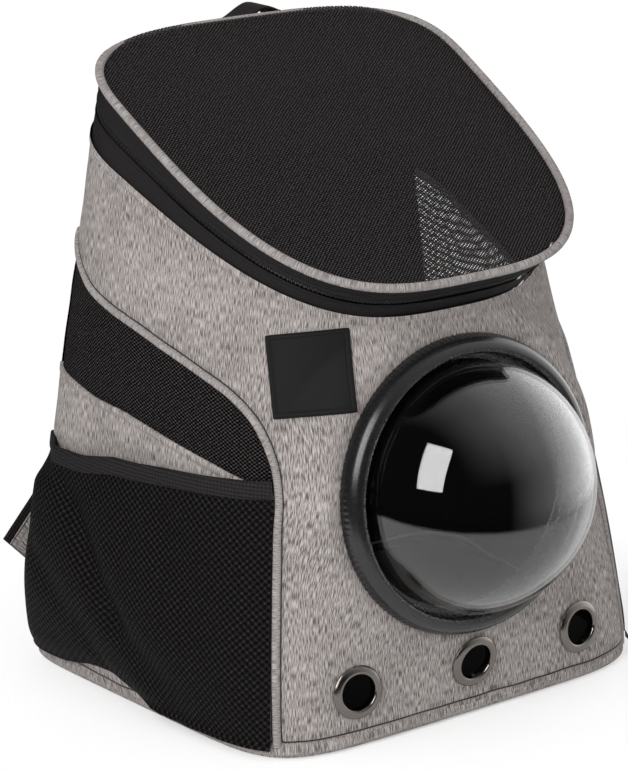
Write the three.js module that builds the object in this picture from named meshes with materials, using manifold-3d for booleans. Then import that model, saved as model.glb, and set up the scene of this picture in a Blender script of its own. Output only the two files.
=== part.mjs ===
// Pet carrier backpack with a clear bubble window, a mesh lid and mesh side windows.
// Millimetres, +Z up. The front faces -Y and +X is the right-hand side seen from the front.
// The origin is the middle of the flat underside.

import * as THREE from 'three';
import { mergeVertices } from 'three/addons/utils/BufferGeometryUtils.js';
import Module from 'manifold-3d';

const wasm = await Module();
wasm.setup();

// Driving dimensions of the body
const baseWidth = 347;
const baseDepth = 286;
const mouthWidth = 284;
const mouthFront = 118;
const mouthBack = 122.5;
const mouthBackHeight = 386;
const lidWidth = 277;
const lidFront = 140.5;
const lidBack = 115.5;
const zipRiseFront = 24.5;
const zipRiseBack = 40;
const wallBulge = 4.7;
const footTuck = 3.5;
const tuckHeight = 30;

// Cloth, cord and clearance
const cloth = 2.2;
const netting = 1.4;
const gap = 0.4;
const sidePiping = 2.9;
const lidPiping = 3;
const basePiping = 4;
const baseThickness = 4;
const coilWidth = 5;
const coilThickness = 2.6;
const sliderThickness = 3;
const zipTape = 1.6;
const zipInset = 1.2;

// Bubble window
const bubbleDiameter = 170;
const bubbleWall = 2.2;
const bubbleSkirt = 3;
const ringRim = 13.1;
const ringHeight = 14.5;
const ringFlange = 3.5;
const ringNeck = 4.5;
const ringLedge = 5;
const pullFlat = 5;
const pullFade = 26;
const ringToMouth = 16;

// Ventilation eyelets
const eyeletDiameter = 35.5;
const eyeletBore = 23.4;
const eyeletNeck = 1.8;
const eyeletRise = 2.8;
const eyeletWasher = 1.2;
const eyeletSpacing = 91;
const eyeletHeight = 38;
const eyeletToRing = 3.75;

// Side pockets
const bandHeight = 11.5;
const bandThickness = 2.4;
const pocketNet = 1.6;
const pocketStandOff = 1.3;
const pocketFootOff = 2.4;
const pocketBulge = 15;

// Front badge
const badgeSize = 53;
const badgeThickness = 1.8;
const badgeFromRing = 32;
const badgeBearing = 137.9;
const badgeTurn = 5;

// Carrying parts
const webWidth = 25;
const webThickness = 1.8;
const strapWidth = 62;
const strapEndWidth = 40;
const strapThickness = 10;
const strapBelowMouth = 48;
const strapReach = 50;
const strapInset = 44;
const webLength = 84;
const webLean = 43;
const webShow = 5.6;
const tabPast = 7.5;
const tabTipHeight = 73;
const tabStandOff = 9;
const tabLength = 60;
const tabDepth = 45;
const tabThickness = 2.6;
const buckleWidth = 36;
const buckleLength = 30;
const buckleThickness = 4;
const buckleBar = 5;
const handleSpan = 74;
const handleBelowMouth = 18;
const handleRise = 58;
const handleReach = 16;
const handleThickness = 3;

// How finely curved pieces are divided; columns crowd towards the corners of the body
const roundSteps = 48;
const cornerCrowd = 4.5;
const wallRows = 8;
const bubbleSteps = 30;
const eyeletSteps = 16;

// Heights up the front follow from the eyelets, the bubble's ring and the space between them
const bubbleRadius = bubbleDiameter / 2;
const ringBore = bubbleRadius + gap;
const ringEdge = ringBore + ringRim;
const bubbleHeight = eyeletHeight + eyeletDiameter / 2 + eyeletToRing + ringEdge;
const mouthFrontHeight = bubbleHeight + ringEdge + ringToMouth;

// Three closed outlines shape the bag: the base, the mouth under the zip and the lid.
// square is the corner exponent, splay the share of width gained towards the back.
const base = {
  width: baseWidth - 2 * footTuck, middle: 0,
  front: baseDepth / 2 - footTuck, back: baseDepth / 2 - footTuck,
  squareFront: 6.5, squareBack: 9, splay: 0.094, frontHeight: 0, backHeight: 0,
};
const mouth = {
  width: mouthWidth, middle: 0.337, front: mouthFront, back: mouthBack,
  squareFront: 3.29, squareBack: 2.82, splay: 0.207,
  frontHeight: mouthFrontHeight, backHeight: mouthBackHeight,
};
const lid = {
  width: lidWidth, middle: 0.354, front: lidFront, back: lidBack,
  squareFront: 3.27, squareBack: 3.27, splay: 0.053,
  frontHeight: mouthFrontHeight + zipRiseFront, backHeight: mouthBackHeight + zipRiseBack,
};

// Angles round the body are in degrees: -90 is the front, 0 the right, 90 the back.
const frontSeamAngle = 223.5;
const backSeamAngle = 138;

// Edge of the front panel where it wings round the side, from the back seam to the base.
// height is the share of the wall's height at that angle.
const wingSeam = [
  { angle: 138, height: 0.8 }, { angle: 149, height: 0.776 }, { angle: 160, height: 0.754 },
  { angle: 175, height: 0.747 }, { angle: 190, height: 0.751 }, { angle: 203, height: 0.753 },
  { angle: 211.5, height: 0.745 }, { angle: 216.5, height: 0.722 }, { angle: 219.5, height: 0.687 },
  { angle: 221.3, height: 0.648 }, { angle: 222.4, height: 0.58 }, { angle: 222.8, height: 0.5 },
  { angle: 223.1, height: 0.36 }, { angle: 223.4, height: 0.2 }, { angle: 224, height: 0 },
];

// Lower edge of the side window
const windowSill = [
  { angle: 138, height: 0.558 }, { angle: 164, height: 0.56 }, { angle: 190, height: 0.575 },
  { angle: 208, height: 0.585 }, { angle: 224, height: 0.583 },
];

// Top edge of the side pocket
const pocketTop = [
  { angle: 138, height: 0.408 }, { angle: 148, height: 0.418 }, { angle: 160, height: 0.441 },
  { angle: 175, height: 0.462 }, { angle: 190, height: 0.495 }, { angle: 203, height: 0.535 },
  { angle: 215, height: 0.578 }, { angle: 223, height: 0.598 },
];

// Bottom edge of the side pocket, gathered up behind the middle
const pocketFoot = [
  { angle: 138, height: 0.028 }, { angle: 148, height: 0.03 }, { angle: 160, height: 0.046 },
  { angle: 168.5, height: 0.058 }, { angle: 176, height: 0.046 }, { angle: 186, height: 0.034 },
  { angle: 223, height: 0.032 },
];

// How far the pocket stands out: shares of pocketBulge along the bag and up the pocket
const pocketAlong = [
  { at: 0, out: 0 }, { at: 0.1, out: 0.34 }, { at: 0.25, out: 0.72 }, { at: 0.45, out: 1 },
  { at: 0.62, out: 1 }, { at: 0.8, out: 0.98 }, { at: 0.93, out: 0.8 }, { at: 1, out: 0.4 },
];
const pocketUp = [
  { at: 0, out: 0.1 }, { at: 0.12, out: 0.6 }, { at: 0.35, out: 1 }, { at: 0.6, out: 0.95 },
  { at: 0.85, out: 0.62 }, { at: 1, out: 0.4 },
];

const rad = THREE.MathUtils.degToRad;
const lerp = THREE.MathUtils.lerp;

// Value of a short table of rows at one place, straight between rows
function tableAt(rows, key, at, column) {
  const rising = rows[rows.length - 1][key] > rows[0][key] ? 1 : -1;
  let i = 0;
  while (i < rows.length - 2 && rising * at > rising * rows[i + 1][key]) i += 1;
  const share = (at - rows[i][key]) / (rows[i + 1][key] - rows[i][key]);
  return lerp(rows[i][column], rows[i + 1][column], THREE.MathUtils.clamp(share, 0, 1));
}

// Height of an outline's sloping plane
function planeHeight(ring, y) {
  return lerp(ring.frontHeight, ring.backHeight, (y + ring.front) / (ring.front + ring.back));
}

// Point on one of the three outlines
function outlinePoint(ring, angle) {
  const across = Math.cos(rad(angle));
  const along = Math.sin(rad(angle));
  const square = along < 0 ? ring.squareFront : ring.squareBack;
  const middle = ring.back * ring.middle;
  const reach = along < 0 ? ring.front + middle : ring.back - middle;
  const size = Math.abs(across) ** square + Math.abs(along) ** square;
  const radius = size ** (-1 / square);
  const local = reach * along * radius;
  const half = ring.width / 2 * (1 + ring.splay * local / (ring.front + middle));
  const y = middle + local;
  return new THREE.Vector3(half * across * radius, y, planeHeight(ring, y));
}

// Wall before the bubble pulls it flat: base to mouth with a soft bulge, drawn in at the foot
function looseWall(angle, height) {
  const point = outlinePoint(base, angle).lerp(outlinePoint(mouth, angle), height);
  const fromTuck = THREE.MathUtils.clamp(1 - point.z / tuckHeight, 0, 1);
  const swell = 4 * wallBulge * height * (1 - height) + footTuck * (1 - height - fromTuck ** 2);
  point.x += swell * Math.cos(rad(angle));
  point.y += swell * Math.sin(rad(angle));
  return point;
}

const front = -90;
const ringShare = bubbleHeight / mouthFrontHeight;
const ringCentre = looseWall(front, ringShare);
const ringUp = looseWall(front, ringShare + 0.01).sub(looseWall(front, ringShare - 0.01)).normalize();
const ringAxis = new THREE.Vector3(0, -ringUp.z, ringUp.y);

// The cloth is drawn flat round the bubble's ring and fades back to the wall beyond it
function wallSurface(angle, height) {
  const point = looseWall(angle, height);
  if (point.y > 0) return point;
  const fromRing = point.clone().sub(ringCentre);
  const above = fromRing.dot(ringAxis);
  const reach = fromRing.addScaledVector(ringAxis, -above).length();
  const flat = ringEdge + pullFlat;
  const hold = 1 - THREE.MathUtils.smoothstep(reach, flat, flat + pullFade);
  return point.addScaledVector(ringAxis, -above * hold);
}

function wallNormal(angle, height) {
  const round = wallSurface(angle + 0.5, height).sub(wallSurface(angle - 0.5, height));
  const up = wallSurface(angle, height + 0.01).sub(wallSurface(angle, height - 0.01));
  return round.cross(up).normalize();
}

function wallPoint(angle, height, out) {
  return wallSurface(angle, height).addScaledVector(wallNormal(angle, height), out);
}

// Angle at which the wall has a given x or y at one height share
function wallAngle(from, to, height, axis, value) {
  const rising = wallSurface(to, height)[axis] > wallSurface(from, height)[axis];
  let low = from;
  let high = to;
  for (let i = 0; i < 30; i += 1) {
    const middle = (low + high) / 2;
    if (wallSurface(middle, height)[axis] < value === rising) low = middle;
    else high = middle;
  }
  return (low + high) / 2;
}

// Closed solid through rings of equal point counts. An open loft is capped by joining
// each ring's first half to its second half.
function loft(rings, closed = false) {
  const count = rings[0].length;
  const positions = rings.flat().flatMap((p) => [p.x, p.y, p.z]);
  const faces = [];
  const quad = (a, b, c, d) => faces.push(a, b, c, a, c, d);
  const last = closed ? rings.length : rings.length - 1;
  for (let i = 0; i < last; i += 1) {
    const here = i * count;
    const next = ((i + 1) % rings.length) * count;
    for (let j = 0; j < count; j += 1) {
      const k = (j + 1) % count;
      quad(here + j, here + k, next + k, next + j);
    }
  }
  if (!closed) {
    const end = (rings.length - 1) * count;
    for (let j = 0; j < count / 2 - 1; j += 1) {
      const mirror = count - 1 - j;
      quad(j, mirror, mirror - 1, j + 1);
      quad(end + j, end + j + 1, end + mirror - 1, end + mirror);
    }
  }
  const geometry = new THREE.BufferGeometry();
  geometry.setAttribute('position', new THREE.Float32BufferAttribute(positions, 3));
  geometry.setIndex(faces);
  return facingOut(mergeVertices(geometry, 1e-4));
}

// Drops triangles with merged corners and turns the faces outwards
function facingOut(geometry) {
  const index = geometry.index.array;
  const place = geometry.attributes.position;
  const corners = [0, 1, 2].map(() => new THREE.Vector3());
  let kept = [];
  let volume = 0;
  for (let i = 0; i < index.length; i += 3) {
    const [a, b, c] = index.slice(i, i + 3);
    if (a === b || b === c || c === a) continue;
    kept.push(a, b, c);
    [a, b, c].forEach((v, n) => corners[n].fromBufferAttribute(place, v));
    volume += corners[0].dot(corners[1].clone().cross(corners[2]));
  }
  if (volume < 0) kept = kept.reverse();
  geometry.setIndex(kept);
  return geometry;
}

function toSolid(geometry) {
  const plain = geometry.clone();
  plain.deleteAttribute('normal');
  plain.deleteAttribute('uv');
  const merged = mergeVertices(plain, 1e-4);
  return new wasm.Manifold(new wasm.Mesh({
    numProp: 3,
    vertProperties: Float32Array.from(merged.attributes.position.array),
    triVerts: Uint32Array.from(merged.index.array),
  }));
}

function fromSolid(solid) {
  const mesh = solid.getMesh();
  const geometry = new THREE.BufferGeometry();
  geometry.setAttribute('position', new THREE.Float32BufferAttribute(mesh.vertProperties, 3));
  geometry.setIndex(Array.from(mesh.triVerts));
  return geometry;
}

// Mirror image of a left-hand piece for the right-hand side
function mirrored(geometry) {
  const copy = geometry.clone();
  copy.scale(-1, 1, 1);
  return facingOut(copy.index ? copy : mergeVertices(copy, 1e-4));
}

// Round cord along a list of points, with a frame that leans on the given normals
function cord(points, normals, radius, sides, closed) {
  const rings = points.map((point, i) => {
    const before = points[closed ? (i + points.length - 1) % points.length : Math.max(i - 1, 0)];
    const after = points[closed ? (i + 1) % points.length : Math.min(i + 1, points.length - 1)];
    const run = after.clone().sub(before).normalize();
    const side = run.clone().cross(normals[i]).normalize();
    const out = side.clone().cross(run);
    return Array.from({ length: sides }, (_, j) => {
      const turn = (j + 0.5) / sides * 2 * Math.PI;
      return point.clone().addScaledVector(side, radius * Math.cos(turn))
        .addScaledVector(out, radius * Math.sin(turn));
    });
  });
  return loft(rings, closed);
}

// Flat or padded strip: each row has its middle, the direction of its width and its sizes
function strip(rows, soft = 0) {
  const rings = rows.map((row, i) => {
    const before = rows[Math.max(i - 1, 0)].at;
    const after = rows[Math.min(i + 1, rows.length - 1)].at;
    const run = row.run ?? after.clone().sub(before).normalize();
    const face = run.clone().cross(row.across).normalize();
    const across = face.clone().cross(run).normalize();
    const w = row.width / 2;
    const t = row.thickness / 2;
    const corner = soft * t;
    const shape = soft
      ? [[-w, 0], [-w + corner, -t], [0, -t], [w - corner, -t], [w, 0], [w - corner, t], [0, t],
        [-w + corner, t]]
      : [[-w, -t], [w, -t], [w, t], [-w, t]];
    return shape.map(([u, v]) => row.at.clone().addScaledVector(across, u).addScaledVector(face, v));
  });
  return loft(rings);
}

// Thick piece of wall between two edges. Columns are angles, low and high give height shares
// and out gives the inner and outer stand-off.
function wallPatch(angles, rows, low, high, out) {
  const rings = angles.map((angle) => {
    const heights = Array.from({ length: rows + 1 }, (_, i) => lerp(low(angle), high(angle), i / rows));
    const outer = heights.map((height, i) => wallPoint(angle, height, out(angle, i / rows)[1]));
    const inner = heights.map((height, i) => wallPoint(angle, height, out(angle, i / rows)[0]));
    return [...outer, ...inner.reverse()];
  });
  return loft(rings);
}

function spread(from, to, count) {
  return Array.from({ length: count + 1 }, (_, i) => lerp(from, to, i / count));
}

// Smooth run of wall places through a seam table
function seamPlaces(rows, count) {
  const curve = new THREE.CatmullRomCurve3(
    rows.map((row) => new THREE.Vector3(row.angle / 100, row.height, 0)), false, 'centripetal');
  return curve.getSpacedPoints(count).map((p) => ({ angle: p.x * 100, height: p.y }));
}

// Body shell: one closed wall from just above the base piping to the mouth
const footHeight = 2 * basePiping + 2 * gap;

function footShare(angle) {
  return footHeight / outlinePoint(mouth, angle).z;
}

const roundAngles = spread(0, 360, roundSteps).slice(0, -1)
  .map((angle) => angle + cornerCrowd * Math.sin(4 * rad(angle)));

const shell = (() => {
  const rings = roundAngles.map((angle) => {
    const foot = footShare(angle);
    const tuck = tuckHeight / outlinePoint(mouth, angle).z;
    const heights = [foot, (foot + tuck) / 2, ...spread(tuck, 1, wallRows - 2)];
    const outer = heights.map((height) => wallPoint(angle, height, 0));
    const inner = heights.map((height) => wallPoint(angle, height, -cloth));
    return [...outer, ...inner.reverse()];
  });
  return toSolid(loft(rings, true));
})();

// Angle and height share that lie a distance along the wall
function stepAngle(angle, height, distance) {
  return distance / wallSurface(angle, height).distanceTo(wallSurface(angle + 1, height));
}

function stepShare(angle, distance) {
  return distance / outlinePoint(mouth, angle).z;
}

// The shell is cut into panels by thick pieces of wall that leave a clearance between them
const cutReach = 8;
const belowBase = -0.06;
const aboveMouth = 1.06;
const halfGapAngle = stepAngle(backSeamAngle, 1, gap / 2);
const wingPlaces = seamPlaces(wingSeam, 25);
const sillAt = (angle) => tableAt(windowSill, 'angle', angle, 'height');
const wingAt = (angle) => tableAt(wingPlaces, 'angle', angle, 'height');

function cutter(angles, low, high) {
  return toSolid(wallPatch(angles, 4, low, high, () => [-cutReach, cutReach]));
}

const backCutter = cutter(spread(180 - backSeamAngle + halfGapAngle, backSeamAngle - halfGapAngle, 12),
  () => belowBase, () => aboveMouth);
const frontCutter = cutter(spread(backSeamAngle + halfGapAngle, 540 - backSeamAngle - halfGapAngle, 40),
  () => belowBase, () => aboveMouth);
const sideCutter = cutter([backSeamAngle - 2, ...wingPlaces.map((place) => place.angle)],
  () => belowBase, wingAt);
const sillAngles = spread(backSeamAngle - 2, frontSeamAngle + 2, 14);
const aboveSill = cutter(sillAngles, (angle) => sillAt(angle) + stepShare(angle, gap), () => 1);
const belowSill = cutter(sillAngles, () => belowBase,
  (angle) => sillAt(angle) - stepShare(angle, gap));

// Piping runs in the wing seam and down the front corner to the base piping
const pipingPlaces = wingPlaces.filter((place) => place.height > footShare(place.angle) + 0.01);

function seamLine(places) {
  return places.map((place) => wallPoint(place.angle, place.height, -cloth / 2));
}

function seamNormals(places) {
  return places.map((place) => wallNormal(place.angle, place.height));
}

function sidePipingCord() {
  return cord(seamLine(pipingPlaces), seamNormals(pipingPlaces), sidePiping, 6, false);
}

// Channel for the piping, run on past the back seam
const pipingChannel = (() => {
  const points = seamLine(wingPlaces);
  const normals = seamNormals(wingPlaces);
  points.unshift(points[0].clone().multiplyScalar(2).sub(points[1]));
  normals.unshift(normals[0]);
  const width = 2 * (sidePiping + 2 * gap);
  const thickness = 2 * (sidePiping + cloth);
  return toSolid(strip(points.map((at, i) => {
    const run = points[Math.min(i + 1, points.length - 1)].clone().sub(points[Math.max(i - 1, 0)]);
    return { at, across: run.cross(normals[i]).normalize(), width, thickness };
  })));
})();

// Placement on the wall: local z points out of the cloth, local y up it
function onWall(geometry, centre, normal, turn = 0) {
  const up = new THREE.Vector3(0, 0, 1).addScaledVector(normal, -normal.z).normalize();
  const across = up.clone().cross(normal);
  const basis = new THREE.Matrix4().makeBasis(across, up, normal);
  geometry.rotateZ(rad(turn));
  geometry.applyMatrix4(basis);
  geometry.translate(centre.x, centre.y, centre.z);
  return geometry;
}

// Turned piece from a closed profile of radius and height, its axis along local z
function turned(profile, steps) {
  const points = [...profile, profile[0]].map(([r, h]) => new THREE.Vector2(Math.max(r, 0), h));
  const geometry = new THREE.LatheGeometry(points, steps);
  geometry.deleteAttribute('normal');
  geometry.deleteAttribute('uv');
  geometry.rotateX(Math.PI / 2);
  return facingOut(mergeVertices(geometry, 1e-4));
}

const ringNeckRadius = ringBore + ringNeck;

function disc(radius, low, high, steps, centre, normal) {
  const profile = [[0, low], [radius, low], [radius, high], [0, high]];
  return toSolid(onWall(turned(profile, steps), centre, normal));
}

const ringInnerRadius = ringNeckRadius + ringNeck;
const ringCuts = [
  disc(ringNeckRadius + gap, -cutReach, cutReach, bubbleSteps, ringCentre, ringAxis),
  disc(ringEdge + gap, 0, cutReach, bubbleSteps, ringCentre, ringAxis),
  disc(ringInnerRadius + gap, -cutReach, -cloth, bubbleSteps, ringCentre, ringAxis),
];

const eyelets = [-1, 0, 1].map((side) => {
  const height = eyeletHeight / mouthFrontHeight;
  const angle = wallAngle(2 * front, 0, height, 'x', side * eyeletSpacing);
  return { centre: wallSurface(angle, height), normal: wallNormal(angle, height) };
});
const eyeletNeckRadius = eyeletBore / 2 + eyeletNeck;

// Hole for the neck of each eyelet and the seats where its flanges press the cloth flat
const eyeletCuts = eyelets.flatMap(({ centre, normal }) => {
  const flange = eyeletDiameter / 2 + gap;
  return [
    disc(eyeletNeckRadius + gap, -cutReach, cutReach, eyeletSteps, centre, normal),
    disc(flange, 0, cutReach, eyeletSteps, centre, normal),
    disc(flange, -cutReach, -cloth, eyeletSteps, centre, normal),
  ];
});

// Place on the wall that lies u across and v up from another place on it
function placeNear(start, across, up, u, v) {
  const middle = wallSurface(start.angle, start.height);
  const miss = (angle, height) => {
    const point = wallSurface(angle, height).sub(middle);
    return [point.dot(across) - u, point.dot(up) - v];
  };
  const angleStep = 0.1;
  const heightStep = 0.001;
  let { angle, height } = start;
  for (let i = 0; i < 12; i += 1) {
    const off = miss(angle, height);
    const byAngle = miss(angle + angleStep, height).map((value, n) => (value - off[n]) / angleStep);
    const byHeight = miss(angle, height + heightStep).map((value, n) => (value - off[n]) / heightStep);
    const size = byAngle[0] * byHeight[1] - byAngle[1] * byHeight[0];
    angle -= (off[0] * byHeight[1] - off[1] * byHeight[0]) / size;
    height -= (byAngle[0] * off[1] - byAngle[1] * off[0]) / size;
  }
  return { angle, height };
}

// Badge: a plain rubber square up to one side of the ring that bends with the cloth
const badgeReach = ringEdge + badgeFromRing;
const badgeMiddle = placeNear({ angle: front, height: ringShare }, new THREE.Vector3(1, 0, 0), ringUp,
  badgeReach * Math.cos(rad(badgeBearing)), badgeReach * Math.sin(rad(badgeBearing)));
const badgeAxis = wallNormal(badgeMiddle.angle, badgeMiddle.height);
const badgeUp = new THREE.Vector3(0, 0, 1).addScaledVector(badgeAxis, -badgeAxis.z).normalize()
  .applyAxisAngle(badgeAxis, rad(badgeTurn));
const badgeAcross = badgeUp.clone().cross(badgeAxis);

function badgePatch(border, out) {
  const reach = badgeSize / 2 + border;
  return loft(spread(-reach, reach, 5).map((u) => {
    const places = spread(-reach, reach, 3)
      .map((v) => placeNear(badgeMiddle, badgeAcross, badgeUp, u, v));
    const outer = places.map((place) => wallPoint(place.angle, place.height, out[1]));
    const inner = places.map((place) => wallPoint(place.angle, place.height, out[0]));
    return [...outer, ...inner.reverse()];
  }));
}

const badgeSeat = toSolid(badgePatch(2 * gap, [0, cutReach]));

function flipSolid(solid) {
  return toSolid(mirrored(fromSolid(solid)));
}

function lessAll(solid, cutters) {
  return cutters.reduce((rest, part) => rest.subtract(part), solid);
}

const channels = [pipingChannel, flipSolid(pipingChannel)];
const round = shell.intersect(frontCutter);
const frontPanel = lessAll(round, [
  sideCutter, flipSolid(sideCutter), ...ringCuts, ...eyeletCuts, badgeSeat, ...channels]);
const backPanel = lessAll(shell.intersect(backCutter), channels);
const side = lessAll(round.intersect(sideCutter), channels);
const sideWindow = side.intersect(aboveSill);
const sidePanel = side.intersect(belowSill);

// Base: a firm flat panel inside a fat roll of piping
function ringOffset(ring, angle, inward) {
  const point = outlinePoint(ring, angle);
  const run = outlinePoint(ring, angle + 0.5).sub(outlinePoint(ring, angle - 0.5));
  const out = new THREE.Vector3(run.y, -run.x, 0).normalize();
  point.addScaledVector(out, -inward);
  return point.setZ(planeHeight(ring, point.y));
}

function shrunk(point, share, ring) {
  const y = ring.back * ring.middle;
  return new THREE.Vector3(0, y, planeHeight(ring, y)).lerp(point, share);
}

// Sheet that fills an outline: its faces follow rings that shrink to the middle
function filled(ring, inward, faces, crown, shares) {
  const level = (share, lift) => roundAngles.map((angle) => {
    const point = shrunk(ringOffset(ring, angle, inward), share, ring);
    point.z += lift + crown * (1 - share * share);
    return point;
  });
  const top = shares.map((share) => level(share, faces[1]));
  const bottom = [...shares].reverse().map((share) => level(share, faces[0]));
  return loft([...top, ...bottom]);
}

function basePanel() {
  return filled(base, cloth / 2 + basePiping + gap, [0, baseThickness], 0, [0.1, 1]);
}

function baseRoll() {
  const points = roundAngles.map((angle) => {
    const point = ringOffset(base, angle, cloth / 2);
    point.z = basePiping + gap / 2;
    return point;
  });
  return cord(points, points.map(() => new THREE.Vector3(0, 0, 1)), basePiping, 6, true);
}

// Zip gusset between the mouth and the lid: two tapes and the coil between them
function gussetPoint(angle, fromMouth, out) {
  const low = outlinePoint(mouth, angle);
  const high = outlinePoint(lid, angle);
  const rise = high.clone().sub(low);
  const round = outlinePoint(lid, angle + 0.5).sub(outlinePoint(lid, angle - 0.5));
  const normal = round.cross(rise).normalize();
  return low.addScaledVector(rise.clone().normalize(), fromMouth).addScaledVector(normal, out);
}

function gussetHeight(angle) {
  return outlinePoint(mouth, angle).distanceTo(outlinePoint(lid, angle));
}

const zipFoot = gap + 0.3;
const zipMiddle = (angle) => (gussetHeight(angle) - lidPiping) / 2;

function zipTapeBand(low, high) {
  const rings = roundAngles.map((angle) => {
    const places = [low(angle), high(angle)];
    const outer = places.map((place) => gussetPoint(angle, place, -zipInset));
    const inner = places.map((place) => gussetPoint(angle, place, -zipInset - zipTape));
    return [...outer, ...inner.reverse()];
  });
  return loft(rings, true);
}

const lowerTape = () => zipTapeBand(() => zipFoot, (angle) => zipMiddle(angle) - coilWidth / 2 - gap);
const upperTape = () => zipTapeBand((angle) => zipMiddle(angle) + coilWidth / 2 + gap,
  (angle) => gussetHeight(angle) - lidPiping - gap);

function zipCoil() {
  const middle = -zipInset - zipTape / 2;
  const half = coilWidth / 2;
  const rings = roundAngles.map((angle) => [
    [-half, 0], [0, coilThickness / 2], [half, 0], [0, -coilThickness / 2],
  ].map(([up, out]) => gussetPoint(angle, zipMiddle(angle) + up, middle + out)));
  return loft(rings, true);
}

const sliderAngle = 28;

function zipSlider() {
  const shape = new THREE.Shape();
  shape.moveTo(-coilWidth, -coilWidth);
  shape.lineTo(coilWidth, -coilWidth);
  shape.lineTo(coilWidth * 1.3, coilWidth * 0.9);
  shape.lineTo(-coilWidth * 1.3, coilWidth * 0.9);
  shape.closePath();
  const body = new THREE.ExtrudeGeometry(shape, { depth: sliderThickness, bevelEnabled: false });
  const lift = -zipInset - zipTape / 2 + coilThickness / 2 + gap;
  const centre = gussetPoint(sliderAngle, zipMiddle(sliderAngle), lift);
  const normal = gussetPoint(sliderAngle, zipMiddle(sliderAngle), lift + 1).sub(centre);
  return onWall(body, centre, normal.normalize(), 90);
}

// Lid: a net panel inside its round piping
function lidRoll() {
  const points = roundAngles.map((angle) => outlinePoint(lid, angle));
  const slope = new THREE.Vector3(0, lid.frontHeight - lid.backHeight, lidFront + lidBack).normalize();
  return cord(points, points.map(() => slope), lidPiping, 6, true);
}

const lidNet = () => filled(lid, lidPiping * Math.cos(rad(30)) + gap, [-netting / 2, netting / 2], 3,
  [0.15, 0.6, 1]);

// Bubble: a hollow half ball on a short skirt, held in the bore of a spool-shaped ring
function bubble() {
  const steps = spread(0, 90, 6);
  const inside = bubbleRadius - bubbleWall;
  const outer = steps.map((a) => [bubbleRadius * Math.cos(rad(a)), bubbleRadius * Math.sin(rad(a))]);
  const inner = steps.map((a) => [inside * Math.cos(rad(a)), inside * Math.sin(rad(a))]).reverse();
  const profile = [[bubbleRadius, -bubbleSkirt], ...outer, ...inner, [inside, -bubbleSkirt]];
  return onWall(turned(profile, bubbleSteps), ringCentre, ringAxis);
}

function bubbleRing() {
  const edge = ringEdge;
  const under = -(cloth + gap);
  const ledge = -(bubbleSkirt + gap);
  const profile = [
    [ringNeckRadius, gap], [edge, gap], [edge, ringHeight * 0.36],
    [edge - ringRim * 0.23, ringHeight * 0.72], [edge - ringRim * 0.57, ringHeight],
    [ringBore + ringRim * 0.12, ringHeight], [ringBore, ringHeight * 0.8],
    [ringBore, ledge], [ringBore - ringLedge, ledge], [ringBore - ringLedge, ledge - ringFlange],
    [ringInnerRadius, ledge - ringFlange], [ringInnerRadius, under], [ringNeckRadius, under],
  ];
  return onWall(turned(profile, bubbleSteps), ringCentre, ringAxis);
}

function eyelet({ centre, normal }) {
  const bore = eyeletBore / 2;
  const edge = eyeletDiameter / 2;
  const rim = edge - bore;
  const under = -(cloth + gap);
  const profile = [
    [eyeletNeckRadius, gap], [edge, gap], [edge, eyeletRise * 0.4], [edge - rim * 0.33, eyeletRise * 0.7],
    [bore + rim * 0.36, eyeletRise], [bore + rim * 0.1, eyeletRise * 0.8], [bore, eyeletRise * 0.3],
    [bore, under - eyeletWasher], [edge - rim * 0.33, under - eyeletWasher],
    [edge - rim * 0.33, under], [eyeletNeckRadius, under],
  ];
  return onWall(turned(profile, eyeletSteps), centre, normal);
}

// Side pocket: net gathered on to the side panel below an elastic band
const pocketFrontAngle = frontSeamAngle - stepAngle(frontSeamAngle, 0.3, sidePiping + 6 * gap + cloth);
const pocketBackAngle = backSeamAngle + stepAngle(backSeamAngle, 0.3, 2 * gap);

function bandShare(angle) {
  return bandHeight / outlinePoint(mouth, angle).z;
}

const pocketTopAt = (angle) => tableAt(pocketTop, 'angle', angle, 'height');
const pocketFootAt = (angle) => tableAt(pocketFoot, 'angle', angle, 'height');

function pocketOut(angle, up) {
  const along = (pocketFrontAngle - angle) / (pocketFrontAngle - pocketBackAngle);
  const swell = tableAt(pocketAlong, 'at', along, 'out') * tableAt(pocketUp, 'at', up, 'out');
  return lerp(pocketFootOff, pocketStandOff, Math.min(4 * up, 1)) + pocketBulge * swell;
}

const pocketAngles = spread(pocketBackAngle, pocketFrontAngle, 13);

function sidePocket() {
  return wallPatch(pocketAngles, 6, pocketFootAt,
    (angle) => pocketTopAt(angle) - bandShare(angle) * (1 + gap / bandHeight),
    (angle, up) => [pocketOut(angle, up), pocketOut(angle, up) + pocketNet]);
}

function pocketBand() {
  const inner = (angle) => pocketOut(angle, 1) - (bandThickness - pocketNet) / 2;
  return wallPatch(pocketAngles, 1, (angle) => pocketTopAt(angle) - bandShare(angle), pocketTopAt,
    (angle) => [inner(angle), inner(angle) + bandThickness]);
}

// Point that stands off the flat of the back, and one that follows its rounded sides too
function offBack(x, z, out) {
  return new THREE.Vector3(x, wallSurface(90, Math.min(z / mouthBackHeight, 1)).y + out, z);
}

function behind(x, z, out) {
  const share = Math.min(z / mouthBackHeight, 1);
  const corner = wallSurface(180 - backSeamAngle, share).x;
  const held = THREE.MathUtils.clamp(x, -corner, corner);
  const angle = wallAngle(backSeamAngle, 180 - backSeamAngle, share, 'x', held);
  return new THREE.Vector3(x, wallSurface(angle, share).y + out, z);
}

// Webbing at the lower back corner: it leans up from the tip of a gusset to the strap's buckle
const webRun = new THREE.Vector3(Math.cos(rad(webLean)), 0.14, Math.sin(rad(webLean))).normalize();
const webDown = new THREE.Vector3(Math.sin(rad(webLean)), 0, -Math.cos(rad(webLean)));
const tipPoint = offBack(-(baseWidth / 2 + tabPast), tabTipHeight, tabStandOff);

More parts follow.
